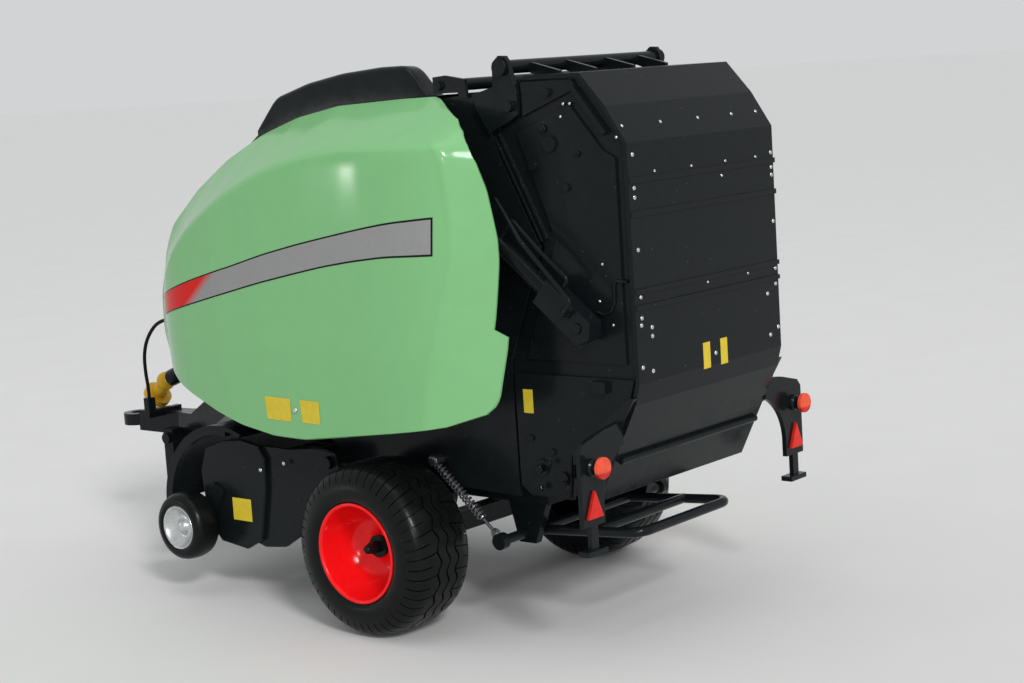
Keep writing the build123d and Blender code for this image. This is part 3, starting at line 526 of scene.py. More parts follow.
# ---- stripe and labels on the panels -------------------------------------
STRIP_ROUND = 2.0
STRIP_REACH = (0.2, 0.2)
STRIPE_TOP = (
    (-62.5, 59.7), (-58.6, 60.8), (-45.0, 64.2), (-31.3, 67.2), (-20.0, 69.9), (-10.1, 71.9), (0.0, 73.7),
    (7.0, 74.9), (13.0, 75.8), (22.1, 76.6),
)
STRIPE_BOTTOM = (
    (-64.0, 55.2), (-59.7, 56.2), (-45.3, 59.3), (-34.0, 61.7), (-22.9, 64.1), (-12.0, 66.2), (-3.8, 67.7),
    (4.0, 68.8), (11.5, 69.6), (21.6, 69.9),
)
STRIPE_LIFT = 0.05
# (front y, rear y, low z, high z) of each label, and how far its lower rear corner is cut short
PANEL_LABELS = ((-24.1, -16.6, 38.5, 42.9), (-13.8, -8.5, 38.6, 42.9))
LABEL_SLANT = 0.3
LABEL_LIFT = 0.06
PANEL_RIVET = (-15.4, 40.8)


def strip_on_panel(top, bottom, steps, across, lift):
    """A thin strip on the panel between two (y, z) lines, with its (along, across) places."""
    points, places = [], []
    for i in range(steps + 1):
        along = i / steps
        y_low = bottom[0][0] + (bottom[-1][0] - bottom[0][0]) * along
        y_high = top[0][0] + (top[-1][0] - top[0][0]) * along
        z_low = smooth_table(bottom, y_low, STRIP_ROUND)
        z_high = smooth_table(top, y_high, STRIP_ROUND)
        for j in range(across + 1):
            share = j / across
            y = y_low + (y_high - y_low) * share
            z = z_low + (z_high - z_low) * share
            out = panel_out(y, z, *STRIP_REACH)
            points.append(tuple(Vector((panel_x(y, z), y, z)) + out * lift))
            places.append((along, share))
    return points, grid_faces(steps + 1, across + 1), places


def lay_places(piece, places):
    """Writes the strip's (along, across) places as its UV map."""
    layer = piece.data.uv_layers.new(name="place")
    for loop in piece.data.loops:
        layer.data[loop.index].uv = places[loop.vertex_index]


# ---- fairing on the roof -------------------------------------------------
FAIRING_TOP = (
    (-35.4, 91.6), (-33.6, 94.3), (-30.0, 97.9), (-21.3, 100.2), (-12.2, 101.6), (-2.2, 102.3), (3.6, 102.3),
    (5.0, 101.8), (6.0, 100.8), (9.4, 96.7),
)
ROOF_TOP = (
    (-35.4, 91.6), (-28.2, 93.2), (-20.7, 95.1), (-13.0, 96.0), (-0.4, 96.3), (9.4, 96.7),
)
FAIRING_SOFT = 1.1
FAIRING_STEP = 0.8
FAIRING_ROUND = 0.9
# the inner edge stands this much lower than the outer one
FAIRING_FALL = 0.1
# the edge rises no higher than this over the line above, and no lower than this over the roof
FAIRING_OVER = 0.1
FAIRING_LEAST = 0.02
# the soft edge takes at most this share of the height
SOFT_SHARE = 0.45
EDGE_STEPS = 6


def fairing_shell():
    """The fairing along the roof's left edge, with soft upper edges."""
    spots = []
    for (y_a, z_a), (y_b, z_b) in zip(FAIRING_TOP, FAIRING_TOP[1:]):
        count = max(2, int((y_b - y_a) / FAIRING_STEP))
        spots += [y_a + (y_b - y_a) * k / count for k in range(count)]
    spots.append(FAIRING_TOP[-1][0])
    turns = [math.pi / 2 * k / EDGE_STEPS for k in range(1, EDGE_STEPS)]
    points = []
    for y in spots:
        low = along_table(ROOF_TOP, y)
        high = min(smooth_table(FAIRING_TOP, y, FAIRING_ROUND), along_table(FAIRING_TOP, y) + FAIRING_OVER)
        high = max(high, low + FAIRING_LEAST)
        r = min(FAIRING_SOFT, (high - low) * SOFT_SHARE)
        inner = high - FAIRING_FALL
        section = [(FAIRING_OUT, low), (FAIRING_OUT, high - r)]
        section += [(FAIRING_OUT - r + r * math.cos(a), high - r + r * math.sin(a)) for a in turns]
        section += [(FAIRING_OUT - r, high), (FAIRING_IN + r, inner)]
        section += [(FAIRING_IN + r - r * math.sin(a), inner - r + r * math.cos(a)) for a in turns]
        section += [(FAIRING_IN, inner - r), (FAIRING_IN, low)]
        points += [(x, y, max(z, low)) for x, z in section]
    size = len(section)
    faces = [face[::-1] for face in grid_faces(len(spots), size, close_columns=True)]
    faces += end_caps(len(spots), size)
    return points, faces


# ---- wheels --------------------------------------------------------------
TREAD = (
    # out from the middle, radius, share of the wave, what the row is
    (0.00, 16.00, 1.0, "groove"), (0.14, 16.00, 1.0, "groove"), (0.22, 16.00, 1.0, "rib"),
    (1.10, 15.98, 1.0, "rib"), (2.05, 15.95, 1.0, "rib"), (2.12, 15.95, 1.0, "groove"),
    (2.44, 15.93, 1.0, "groove"), (2.52, 15.93, 1.0, "inner"), (3.30, 15.88, 0.6, "inner"),
    (4.20, 15.78, 0.3, "inner"), (4.26, 15.77, 0.3, "shoulder"), (5.20, 15.56, 0.0, "shoulder"),
    (6.00, 15.25, 0.0, "shoulder"), (6.60, 14.80, 0.0, "shoulder"), (7.02, 14.25, 0.0, "shoulder"),
    (7.32, 13.60, 0.0, "shoulder"), (7.48, 13.10, 0.0, "shoulder"), (7.54, 12.95, 0.0, "wall"),
    (7.74, 12.30, 0.0, "wall"), (7.86, 11.50, 0.0, "wall"), (7.88, 10.80, 0.0, "wall"),
    (7.78, 10.15, 0.0, "wall"), (7.52, 9.60, 0.0, "wall"), (7.15, 9.22, 0.0, "wall"),
    (6.85, 9.12, 0.0, "wall"),
)
# the outer face of the tyre, and half of its width
TYRE_FACE = 39.0
TYRE_HALF = 7.9
TREAD_SLANT = 0.085
TREAD_WAVE = 0.42
# the slant ends, and the slits turn shallow, this far out from the middle
SLANT_REACH = 7.5
SHALLOW_FROM = 7.3
# places round one block: the slit's lip, floor, floor, lip, then the block
SLIT_STEPS = (0.0, 0.015, 0.105, 0.12, 0.36, 0.6, 0.84)
SLIT_FLOOR = (1, 2)


def tyre_shell(blocks, depth):
    """A wide tyre with wavy middle ribs and slit shoulder blocks."""
    rows = [(-out, r, wave, kind) for out, r, wave, kind in reversed(TREAD[1:])] + list(TREAD)
    points = []
    for block in range(blocks):
        for k, step in enumerate(SLIT_STEPS):
            turn = 2 * math.pi * (block + step) / blocks
            for i, (out, r, wave, kind) in enumerate(rows):
                before, after = rows[max(i - 1, 0)], rows[min(i + 1, len(rows) - 1)]
                d_out, d_r = after[0] - before[0], after[1] - before[1]
                long = math.hypot(d_out, d_r)
                slit = k in SLIT_FLOOR and (kind == "shoulder" or (kind == "inner" and block % 2 == 0))
                cut = depth if slit or kind == "groove" else 0.0
                if slit and abs(out) > SHALLOW_FROM:
                    cut = depth * 0.5
                angle = turn + TREAD_SLANT * (1 - min(abs(out) / SLANT_REACH, 1.0))
                x = out + TREAD_WAVE * wave * math.sin(blocks / 2 * angle) + d_r / long * cut
                here = r - d_out / long * cut
                y, z = WHEEL[0] + here * math.cos(angle), WHEEL[1] + here * math.sin(angle)
                points.append((TYRE_FACE - TYRE_HALF + x, y, z))
    return points, grid_faces(blocks * len(SLIT_STEPS), len(rows), close_rows=True)


# outlines as (depth in from the tyre's face, radius)
RIM = (
    (6.6, 9.12), (1.0, 9.12), (0.62, 9.3), (0.4, 9.28), (0.3, 9.1), (0.32, 8.85), (0.5, 8.66), (0.9, 8.55),
    (2.2, 8.35), (3.4, 8.15), (4.4, 7.85), (5.6, 7.4), (6.7, 6.8), (7.6, 6.0), (8.1, 5.2), (8.4, 4.2),
    (8.5, 3.2), (8.45, 2.6), (8.25, 2.4), (7.4, 2.3), (7.2, 2.1), (7.15, 1.56), (9.6, 1.56),
)
RIM_INSIDE = (
    (9.6, 1.56), (11.4, 1.56), (11.4, 2.6), (9.3, 2.8), (9.2, 7.0), (11.5, 7.6), (14.7, 8.2), (14.9, 8.6),
    (14.75, 9.1), (13.5, 9.12),
)
GAUGE_TYRE = (
    (0.36, 4.35), (0.08, 4.6), (0.0, 5.0), (0.06, 5.5), (0.3, 6.05), (0.8, 6.45), (1.5, 6.68), (2.2, 6.77),
    (3.0, 6.8), (3.8, 6.77), (4.5, 6.68), (5.2, 6.45), (5.7, 6.05), (5.94, 5.5), (6.0, 5.0), (5.92, 4.6),
    (5.64, 4.35),
)
GAUGE_RIM = (
    (3.0, 4.36), (0.6, 4.36), (0.3, 4.42), (0.16, 4.3), (0.2, 4.1), (0.4, 3.95), (0.8, 3.6), (1.3, 3.0),
    (1.75, 2.4), (1.9, 2.1), (1.9, 1.8), (1.7, 1.5), (1.2, 1.2), (0.85, 0.9), (0.72, 0.5), (0.7, 0.02),
)
GAUGE_RIM_INSIDE = (
    (0.9, 0.02), (0.9, 0.85), (5.5, 0.9), (5.5, 1.6), (2.6, 1.8), (2.6, 3.3), (5.3, 3.8), (5.64, 4.1),
    (5.6, 4.36), (3.0, 4.36),
)
GAUGE_FACE = 35.0
RIM_TURNS, GAUGE_TURNS = 96, 72
# the axle's bolt and its ball end: where each starts, and rings of (height, radius)
BOLT_X = 32.4
BOLT_RINGS = ((0.0, 1.1), (2.2, 1.1), (2.5, 0.95))
BALL_X = 34.6
BALL_RINGS = ((0.0, 0.8), (0.5, 0.85), (0.9, 0.8), (1.2, 0.62), (1.38, 0.35), (1.42, 0.1))


def dished(front_outline, back_outline, face, centre, turns):
    """A rim's painted front and dark back: points, faces and each face's material."""
    front = turned(front_outline, face, centre, turns, close=False)
    back = turned(back_outline, face, centre, turns, close=False)
    return *joined(front, back), [0] * len(front[1]) + [1] * len(back[1])


# ---- sizes and colours ---------------------------------------------------
def colour_value(name, description, value):
    """A colour that a user can change."""
    return FloatVectorProperty(name=name, description=description, subtype="COLOR", size=3, min=0, max=1,
                               default=value)


class BalerColours(bpy.types.PropertyGroup):
    """Colours of the model, linear."""
    green: colour_value("Panel green", "Paint of the two side panels", (0.200, 0.465, 0.200))
    black: colour_value("Body black", "Moulded black of the body", (0.0065, 0.0088, 0.0098))
    rubber: colour_value("Rubber", "Tyres", (0.0042, 0.0054, 0.0048))
    red: colour_value("Rim red", "Painted wheel rims", (0.80, 0.006, 0.008))
    lamp: colour_value("Lamp", "Round rear lamp lens, upper half", (0.74, 0.085, 0.035))
    lamp_low: colour_value("Lamp, lower", "Round rear lamp lens, lower half", (0.55, 0.015, 0.012))
    reflector: colour_value("Reflector", "Triangle at the rear", (0.62, 0.02, 0.012))
    silver: colour_value("Silver", "Gauge wheel hubs and rivets", (0.62, 0.64, 0.64))
    steel: colour_value("Steel", "Rods of the cylinders", (0.30, 0.31, 0.32))
    spring: colour_value("Spring", "Ramp springs", (0.16, 0.16, 0.17))
    yellow: colour_value("Label yellow", "Blank labels", (0.62, 0.48, 0.03))
    cone: colour_value("Shaft yellow", "Ball and flange at the end of the drive shaft", (0.64, 0.36, 0.012))
    stripe: colour_value("Stripe grey", "Stripe on the side panels", (0.27, 0.27, 0.27))
    stripe_red: colour_value("Stripe red", "Front end of the stripe", (0.62, 0.015, 0.012))
    floor: colour_value("Floor", "Card under the model", (0.69, 0.69, 0.68))


class BalerSizes(bpy.types.PropertyGroup):
    """Sizes that scene pieces take."""
    tread_depth: FloatProperty(name="Tread depth", description="Depth of the tyre grooves", default=0.00055,
                               unit="LENGTH")
    tread_blocks: IntProperty(name="Tread blocks", description="Shoulder blocks round a tyre", default=48)
    rivet_radius: FloatProperty(name="Rivet radius", description="Heads along the skin edges",
                                default=0.00042, unit="LENGTH")
    spring_turns: IntProperty(name="Spring turns", description="Turns of a ramp spring", default=16)
    hose_radius: FloatProperty(name="Hose radius", description="Front hose", default=0.0004, unit="LENGTH")


FINISHES = {}


def finishes():
    """Every finish by name, built once."""
    c = bpy.context.scene.baler_colours
    if not FINISHES:
        FINISHES.update({
            # the dust specks on these finishes are partly painted glints of light
            "black": moulded("black_plastic", c.black, rough=0.22, rough_spread=0.06, specular=0.13,
                             dust_and_glints=0.14),
            "metal": moulded("black_metal", c.black, rough=0.18, rough_spread=0.05, specular=0.16, dust_and_glints=0.08),
            "dark": moulded("shadow_black", [0.5 * part for part in c.black], rough=0.5, specular=0.1),
            "rubber": moulded("rubber", c.rubber, shade=0.15, rough=0.30, rough_spread=0.08, bump=0.2,
                              dust_and_glints=0.06, edge=0.06, specular=0.15),
            "green": moulded("green_paint", c.green, shade=0.012, grain=300, rough=0.13, rough_spread=0.02,
                             specular=0.14, bump=0.03, edge=0.0),
            "red": moulded("red_paint", c.red, shade=0.03, rough=0.16, rough_spread=0.04, specular=0.3,
                           bump=0.05),
            "silver": moulded("silver_paint", c.silver, rough=0.28, metallic=1.0),
            "spring": moulded("spring_wire", c.spring, rough=0.22, metallic=0.8, edge=0.0, specular=0.6),
            "steel": moulded("grey_steel", c.steel, rough=0.25, metallic=1.0, edge=0.0),
            "yellow": moulded("label_yellow", c.yellow, shade=0.05, rough=0.35, edge=0.0, specular=0.2),
            "cone": moulded("yellow_plastic", c.cone, shade=0.05, rough=0.25, specular=0.3),
            "reflector": moulded("reflector_lens", c.reflector, rough=0.15, specular=0.2),
            "lens": lens_glass(c.lamp, c.lamp_low),
            "stripe": stripe_film(c.stripe, c.stripe_red),
        })
    return FINISHES


# height where the lens changes colour, and half of the soft band there
LENS_SPLIT_Z = 34.1
LENS_SPLIT_HALF = 0.2


def lens_glass(upper, lower):
    """Lamp lens: one colour above, another below."""
    def halves(tree, skin):
        where = node(tree, "ShaderNodeTexCoord", (-1200, 1400))
        axes = node(tree, "ShaderNodeSeparateXYZ", (-900, 1400))
        tree.links.new(where.outputs["Object"], axes.inputs[0])
        span = ((LENS_SPLIT_Z - LENS_SPLIT_HALF) * MM, (LENS_SPLIT_Z + LENS_SPLIT_HALF) * MM)
        below = ranged(tree, (-600, 1400), axes.outputs[2], span, (1.0, 0.0))
        return laid_over(tree, (300, 900), below, skin, lower)

    lens = moulded("lamp_lens", upper, rough=0.12, rough_spread=0.03, specular=0.3, edge=0.0)
    return recoloured(lens, halves)


# shares of the stripe's length where the red fades out, how far the fade leans, and the outline's colour
RED_SPAN = (0.215, 0.155)
RED_LEAN = -0.11
OUTLINE_BLACK = (0.012, 0.013, 0.013)
# (axis of the stripe, middle, half width) of the film inside its outline
FILM_INSIDE = ((1, 0.5, 0.445), (0, 0.45, 0.5455))


def stripe_film(grey, red):
    """Grey film with a thin black outline, turning red at its front end."""
    def striped(tree, skin):
        place = node(tree, "ShaderNodeUVMap", (-1500, 1500), uv_map="place")
        axes = node(tree, "ShaderNodeSeparateXYZ", (-1300, 1500))
        tree.links.new(place.outputs[0], axes.inputs[0])
        lean = worked(tree, (-1100, 1500), "MULTIPLY_ADD", axes.outputs[1], RED_LEAN, axes.outputs[0])
        fade = ranged(tree, (-900, 1500), lean, RED_SPAN, (0.0, 1.0))
        skin = laid_over(tree, (200, 900), fade, skin, red)
        edges = []
        for axis, middle, half in FILM_INSIDE:
            off = worked(tree, (-900, 1200), "SUBTRACT", axes.outputs[axis], middle)
            size = worked(tree, (-700, 1200), "ABSOLUTE", off)
            edges.append(worked(tree, (-500, 1200), "GREATER_THAN", size, half))
        either = worked(tree, (-300, 1200), "MAXIMUM", *edges)
        return laid_over(tree, (400, 900), either, skin, OUTLINE_BLACK)

    film = moulded("stripe_film", grey, shade=0.02, rough=0.2, specular=0.04, edge=0.0)
    return recoloured(film, striped)


# ---- the stage -----------------------------------------------------------
CAMERA_PLACE = Vector((0.27814, 0.27427, 0.10165))
CAMERA_AZIMUTH = math.radians(130.645)
CAMERA_RISE = math.radians(8.142)
CAMERA_ROLL = math.radians(-3.685)
CAMERA_LENS = 68.48
CAMERA_SENSOR = 36.0
FLOOR_HALF = 12.0
ROOM_LIGHT = 0.62
ROOM_COLOUR = (0.97, 0.98, 1.0, 1)
BACKDROP_LIGHT = 0.66
BACKDROP_COLOUR = (0.98, 0.99, 1.0, 1)
# suns: name, the side that the light comes from, strength, angle across in degrees
SUNS = (("key_lamp", (0.34, 0.60, 0.44), 1.65, 11), ("front_lamp", (0.31, 0.31, 0.12), 0.35, 8))
# square lamps: name, place and target in metres, side, power
SQUARE_LAMPS = (
    ("top_lamp", (0.05, 0.1, 0.8), (0, 0, 0.05), 0.4, 0.7),
    ("glint_lamp", (0.387, -0.349, 0.064), (0.037, 0.026, 0.085), 0.014, 0.05),
)


def hang_lamp(data, place, target=(0, 0, 0)):
    """Puts a lamp at a place and turns it to its target."""
    lamp = bpy.data.objects.new(data.name, data)
    bpy.context.scene.collection.objects.link(lamp)
    lamp.location = place
    lamp.rotation_mode = "QUATERNION"
    lamp.rotation_quaternion = (Vector(target) - Vector(place)).to_track_quat("-Z", "Y")


def light_the_stage():
    """Even suns with soft shadows and two square lamps."""
    for name, side, strength, angle in SUNS:
        data = bpy.data.lights.new(name, "SUN")
        data.energy = strength
        data.angle = math.radians(angle)
        hang_lamp(data, side)
    for name, place, target, size, power in SQUARE_LAMPS:
        data = bpy.data.lights.new(name, "AREA")
        data.shape = "SQUARE"
        data.size = size
        data.energy = power
        hang_lamp(data, place, target)


def fill_the_room():
    """An even pale room, with a backdrop of its own where the camera looks past everything."""
    world = bpy.data.worlds.new("soft_room")
    bpy.context.scene.world = world
    world.use_nodes = True
    tree = world.node_tree
    tree.nodes.clear()
    out = node(tree, "ShaderNodeOutputWorld", (400, 0))
    room = node(tree, "ShaderNodeBackground", (0, 0), Strength=ROOM_LIGHT, Color=ROOM_COLOUR)
    backdrop = node(tree, "ShaderNodeBackground", (0, -200), Strength=BACKDROP_LIGHT, Color=BACKDROP_COLOUR)
    path = node(tree, "ShaderNodeLightPath", (-300, 300))
    mix = node(tree, "ShaderNodeMixShader", (200, 0))
    tree.links.new(path.outputs["Is Camera Ray"], mix.inputs[0])
    tree.links.new(room.outputs[0], mix.inputs[1])
    tree.links.new(backdrop.outputs[0], mix.inputs[2])
    tree.links.new(mix.outputs[0], out.inputs[0])


def lay_floor(colour):
    """A wide pale card under everything."""
    mesh = bpy.data.meshes.new("floor")
    shape = bmesh.new()
    bmesh.ops.create_grid(shape, x_segments=8, y_segments=8, size=FLOOR_HALF)
    shape.to_mesh(mesh)
    shape.free()
    floor = bpy.data.objects.new("floor", mesh)
    bpy.context.scene.collection.objects.link(floor)
    paint(floor, moulded("floor_card", colour, shade=0.01, grain=40, rough=0.8, rough_spread=0.02, bump=0.02,
                         edge=0.0, specular=0.2))


def make_camera():
    """The camera, from its place and its three turns."""
    a, e, r = CAMERA_AZIMUTH, CAMERA_RISE, CAMERA_ROLL
    back = Vector((math.sin(a) * math.cos(e), -math.cos(a) * math.cos(e), math.sin(e)))
    right = (-back).cross(Vector((0, 0, 1))).normalized()
    up = right.cross(-back)
    right, up = math.cos(r) * right + math.sin(r) * up, -math.sin(r) * right + math.cos(r) * up
    data = bpy.data.cameras.new("camera")
    data.lens = CAMERA_LENS
    data.sensor_width = CAMERA_SENSOR
    data.clip_start, data.clip_end = 0.01, 10.0
    camera = bpy.data.objects.new("camera", data)
    bpy.context.scene.collection.objects.link(camera)
    turn = Matrix((right, up, back)).transposed().to_4x4()
    camera.matrix_world = Matrix.Translation(CAMERA_PLACE) @ turn
    bpy.context.scene.camera = camera


class BALER_OT_stage(bpy.types.Operator):
    """Pale floor, soft lamps and the camera"""
    bl_idname = "baler.stage"
    bl_label = "Stage"

    def execute(self, context):
        lay_floor(context.scene.baler_colours.floor)
        fill_the_room()
        light_the_stage()
        context.scene.view_settings.view_transform = "Standard"
        make_camera()
        return {"FINISHED"}


# ---- the pieces ----------------------------------------------------------
# carried-over parts that are not black plastic, by name without their side
OTHER_FINISHES = {
    "shaft_cone": "cone", "reflector": "reflector", "lamp": "metal", "ramp": "metal", "roof": "metal",
    "light_bracket": "metal", "towing_eye": "metal", "cylinder_rod": "steel",
}


class BALER_OT_plain(bpy.types.Operator):
    """Gives every carried-over part its finish"""
    bl_idname = "baler.plain"
    bl_label = "Finishes"

    def execute(self, context):
        finish = finishes()
        for name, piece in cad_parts.items():
            kind = name.removesuffix("_left").removesuffix("_right")
            paint(piece, finish[OTHER_FINISHES.get(kind, "black")])
        return {"FINISHED"}


class BALER_OT_panels(bpy.types.Operator):
    """Side panels with their stripe and blank labels"""
    bl_idname = "baler.panels"
    bl_label = "Side panels"

    def execute(self, context):
        finish = finishes()
        bodies = ("side_panel_left", "side_panel_right")
        pair("panel_skin", *panel_shell(), bodies, (finish["green"],), nodes=("panel",), angle=60.0)

        points, faces, places = strip_on_panel(
            STRIPE_TOP, STRIPE_BOTTOM, steps=120, across=6, lift=STRIPE_LIFT,
        )
        for piece in pair("stripe", points, faces, bodies, (finish["stripe"],)):
            lay_places(piece, places)

        labels = []
        for front, rear, low, high in PANEL_LABELS:
            upper = ((front, high), (rear, high))
            lower = ((front, low), (rear - LABEL_SLANT, low))
            points, faces, _ = strip_on_panel(upper, lower, steps=10, across=8, lift=LABEL_LIFT)
            labels.append((points, faces))
        pair("panel_labels", *joined(*labels), bodies, (finish["yellow"],))

        head = rivet((panel_x(*PANEL_RIVET), *PANEL_RIVET), OUT, r=0.55, height=0.4)
        pair("panel_rivet", *head, bodies, (finish["silver"],))
        return {"FINISHED"}


class BALER_OT_wheels(bpy.types.Operator):
    """Tyres with their tread, dished rims and hub bolts"""
    bl_idname = "baler.wheels"
    bl_label = "Wheels"

    def execute(self, context):
        finish = finishes()
        sizes = context.scene.baler_sizes
        bodies = ("wheel_left", "wheel_right")
        tread = tyre_shell(sizes.tread_blocks, sizes.tread_depth / MM)
        pair("tyre_tread", *tread, bodies, (finish["rubber"],), nodes=("tyre",), angle=35.0)
        points, faces, kinds = dished(RIM, RIM_INSIDE, TYRE_FACE, WHEEL, RIM_TURNS)
        painted = (finish["red"], finish["dark"])
        pair("rim_dish", points, faces, bodies, painted, kinds, nodes=("rim",), angle=50.0)
        bolt = stack((BOLT_X, *WHEEL), OUT, BOLT_RINGS, sides=6)
        ball = stack((BALL_X, *WHEEL), OUT, BALL_RINGS, sides=20)
        pair("axle_bolt", *joined(bolt, ball), ("chassis", "chassis"), (finish["metal"],))

        bodies = ("gauge_wheel_left", "gauge_wheel_right")
        points, faces = turned(GAUGE_TYRE, GAUGE_FACE, GAUGE_WHEEL, GAUGE_TURNS)
        rubber = (finish["rubber"],)
        pair("gauge_tyre_round", points, faces, bodies, rubber, nodes=("gauge_tyre",), angle=50.0)
        points, faces, kinds = dished(GAUGE_RIM, GAUGE_RIM_INSIDE, GAUGE_FACE, GAUGE_WHEEL, GAUGE_TURNS)
        painted = (finish["silver"], finish["dark"])
        pair("gauge_hub", points, faces, bodies, painted, kinds, nodes=("gauge_rim",), angle=50.0)
        return {"FINISHED"}


# a ramp spring: the ends of its line, its coil, its rod, the eye at its foot and the boss at its top
SPRING_TOP = Vector((23.0, 6.6, 30.6))
SPRING_FOOT = Vector((23.0, 20.6, 18.2))
SPRING_WIRE = 0.2
SPRING_RADIUS = 0.72
SPRING_START = 1.0
SPRING_LENGTH = 13.6
RING_STEPS = 16
SPRING_ROD = 0.32
SPRING_ROD_SPAN = (0.2, 18.2)
SPRING_EYE = 0.75
SPRING_EYE_WIRE = 0.3
SPRING_EYE_BACK = 0.3
SPRING_BOSS_X = 21.5
SPRING_BOSS_RINGS = ((-0.1, 1.1), (2.0, 1.1), (2.2, 0.9), (2.25, 0.4))


def spring_shape(turns):
    """Coil on its rod, with an eye at the foot and a boss at the top."""
    axis = (SPRING_FOOT - SPRING_TOP).normalized()
    out = Vector(OUT)
    over = axis.cross(out)
    coil = []
    steps = turns * RING_STEPS
    for i in range(steps + 1):
        angle = 2 * math.pi * turns * i / steps
        ring = (out * math.cos(angle) + over * math.sin(angle)) * SPRING_RADIUS
        coil.append(SPRING_TOP + axis * (SPRING_START + SPRING_LENGTH * i / steps) + ring)
    rod = [SPRING_TOP + axis * along for along in SPRING_ROD_SPAN]
    eye = []
    for i in range(RING_STEPS + 1):
        angle = 2 * math.pi * i / RING_STEPS
        ring = (axis * math.cos(angle) + over * math.sin(angle)) * SPRING_EYE
        eye.append(SPRING_FOOT - axis * SPRING_EYE_BACK + ring)
    boss = stack((SPRING_BOSS_X, *SPRING_TOP.yz), OUT, SPRING_BOSS_RINGS, sides=16)
    wires = (swept(coil, SPRING_WIRE, 8), swept(rod, SPRING_ROD, 10), swept(eye, SPRING_EYE_WIRE, 8))
    return joined(*wires, boss)


class BALER_OT_springs(bpy.types.Operator):
    """Coil springs of the bale ramp"""
    bl_idname = "baler.springs"
    bl_label = "Ramp springs"

    def execute(self, context):
        shape = spring_shape(context.scene.baler_sizes.spring_turns)
        pair("spring_coil", *shape, ("chassis", "chassis"), (finishes()["spring"],), nodes=("ramp_spring",))
        return {"FINISHED"}


HOSE_ROUTE = (
    (3.0, -72.0, 47.4), (3.0, -75.4, 47.4), (4.4, -83.0, 51.0), (5.6, -89.635, 50.6), (6.0, -93.535, 46.9),
    (6.0, -95.3875, 42.8), (6.0, -95.3875, 38.4), (6.0, -94.9, 35.4), (6.0, -94.9, 33.0),
)


class BALER_OT_hose(bpy.types.Operator):
    """Hose from the gearbox to its holder on the drawbar"""
    bl_idname = "baler.hose"
    bl_label = "Front hose"

    def execute(self, context):
        data = bpy.data.curves.new("front_hose_line", "CURVE")
        data.dimensions = "3D"
        data.bevel_depth = context.scene.baler_sizes.hose_radius
        data.bevel_resolution = 4
        data.resolution_u = 16
        data.use_fill_caps = True
        line = data.splines.new("NURBS")
        line.points.add(len(HOSE_ROUTE) - 1)
        for point, (x, y, z) in zip(line.points, HOSE_ROUTE):
            point.co = (x * MM, (y + AXLE_Y) * MM, z * MM, 1)
        line.order_u = 3
        line.use_endpoint_u = True
        data.materials.append(finishes()["rubber"])
        hose = bpy.data.objects.new("front_hose_line", data)
        context.scene.collection.objects.link(hose)
        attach(hose, "chassis")
        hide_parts("front_hose")
        return {"FINISHED"}


# lamps: (y, z) where each part starts, and rings of (height, radius)
LENS_PLACE = (51.5, 34.8)
LENS_RINGS = (
    (0.0, 1.2), (0.0, 1.75), (0.12, 1.85), (0.7, 1.85), (0.86, 1.75), (0.9, 1.6), (0.84, 1.45), (0.96, 1.3),
    (0.94, 1.1), (1.06, 0.9), (1.04, 0.7), (1.12, 0.4), (1.13, 0.1),
)
NECK_PLACE = (49.4, 34.7)
NECK_RINGS = ((0.0, 1.5), (0.6, 1.5), (0.9, 1.2), (2.2, 1.2))
# the tailgate's rear sheet and the plane of its upper sides
REAR_Y = 53.3
GATE_EDGE_X = 21.7
REAR_LABELS = ((0.9, 3.0), (-4.4, -2.3))
REAR_LABEL_Z = (46.8, 51.4)
SIDE_LABEL = ((21.2, 22.02), (27.95, 30.05), (40.8, 45.0))
LABEL_CHAMFER = 0.02
LABEL_THICK = 0.16
# rivets by place: (x, z) on the rear sheet, x on the slanted top, (y, z) on the left side
REAR_RIVETS = (
    (20.4, 79.9), (20.4, 78.3), (20.2, 69.6), (20.2, 61.7), (20.2, 58.2), (20.4, 57.0), (17.5, 56.3),
    (17.5, 54.8), (20.6, 49.9), (17.8, 48.9), (-21.1, 82.6), (-21.1, 80.0), (-21.1, 78.6), (-21.0, 70.2),
    (-21.0, 61.6), (-20.9, 58.8), (-18.1, 57.3), (-18.5, 49.7), (-21.2, 50.8), (-0.8, 49.1), (20.4, 85.4),
)
TOP_RIVETS = (-19.6, -11.8, -1.4, 9.6, 20.4)
TOP_RIVETS_PLACE = (51.5, 90.1)
TOP_RIVETS_AXIS = (0, 0.85, 0.53)
BELT_RIVETS = (
    (14.5, 82.2), (3.8, 82.2), (-6.5, 82.2), (-16.1, 82.2), (-5.2, 79.8), (0.6, 61.8), (-12.0, 61.8),
)
SIDE_RIVETS = (
    (39.9, 92.1), (40.6, 94.2), (42.0, 94.2), (48.6, 57.1), (46.0, 61.0), (47.0, 67.3), (51.4, 88.4),
)
RIVET_HEIGHT = 0.3
SIDE_RIVET_HEIGHT = 0.35
# smaller heads, as shares of the largest
TOP_RIVET_SHARE = 0.8
SMALL_RIVET_SHARE = 0.7
# bolts: (y, z, radius); the upper ones stand on the recessed sheet
UPPER_BOLTS_X = 21.75
UPPER_BOLTS = ((36.0, 90.2, 0.75), (43.0, 85.8, 0.6))
LOWER_BOLTS = ((33.8, 32.4, 0.55), (37.2, 28.9, 0.8), (31.5, 27.8, 0.6), (31.4, 31.2, 0.8))
BOLT_HEIGHT = 0.5
HOOK_X = 21.9
HOOK_LINE = ((52.0, 64.4), (49.8, 64.6), (49.3, 63.8), (49.2, 61.0), (48.4, 59.5), (46.8, 58.8), (45.4, 59.2))
HOOK_WIRE = 0.28


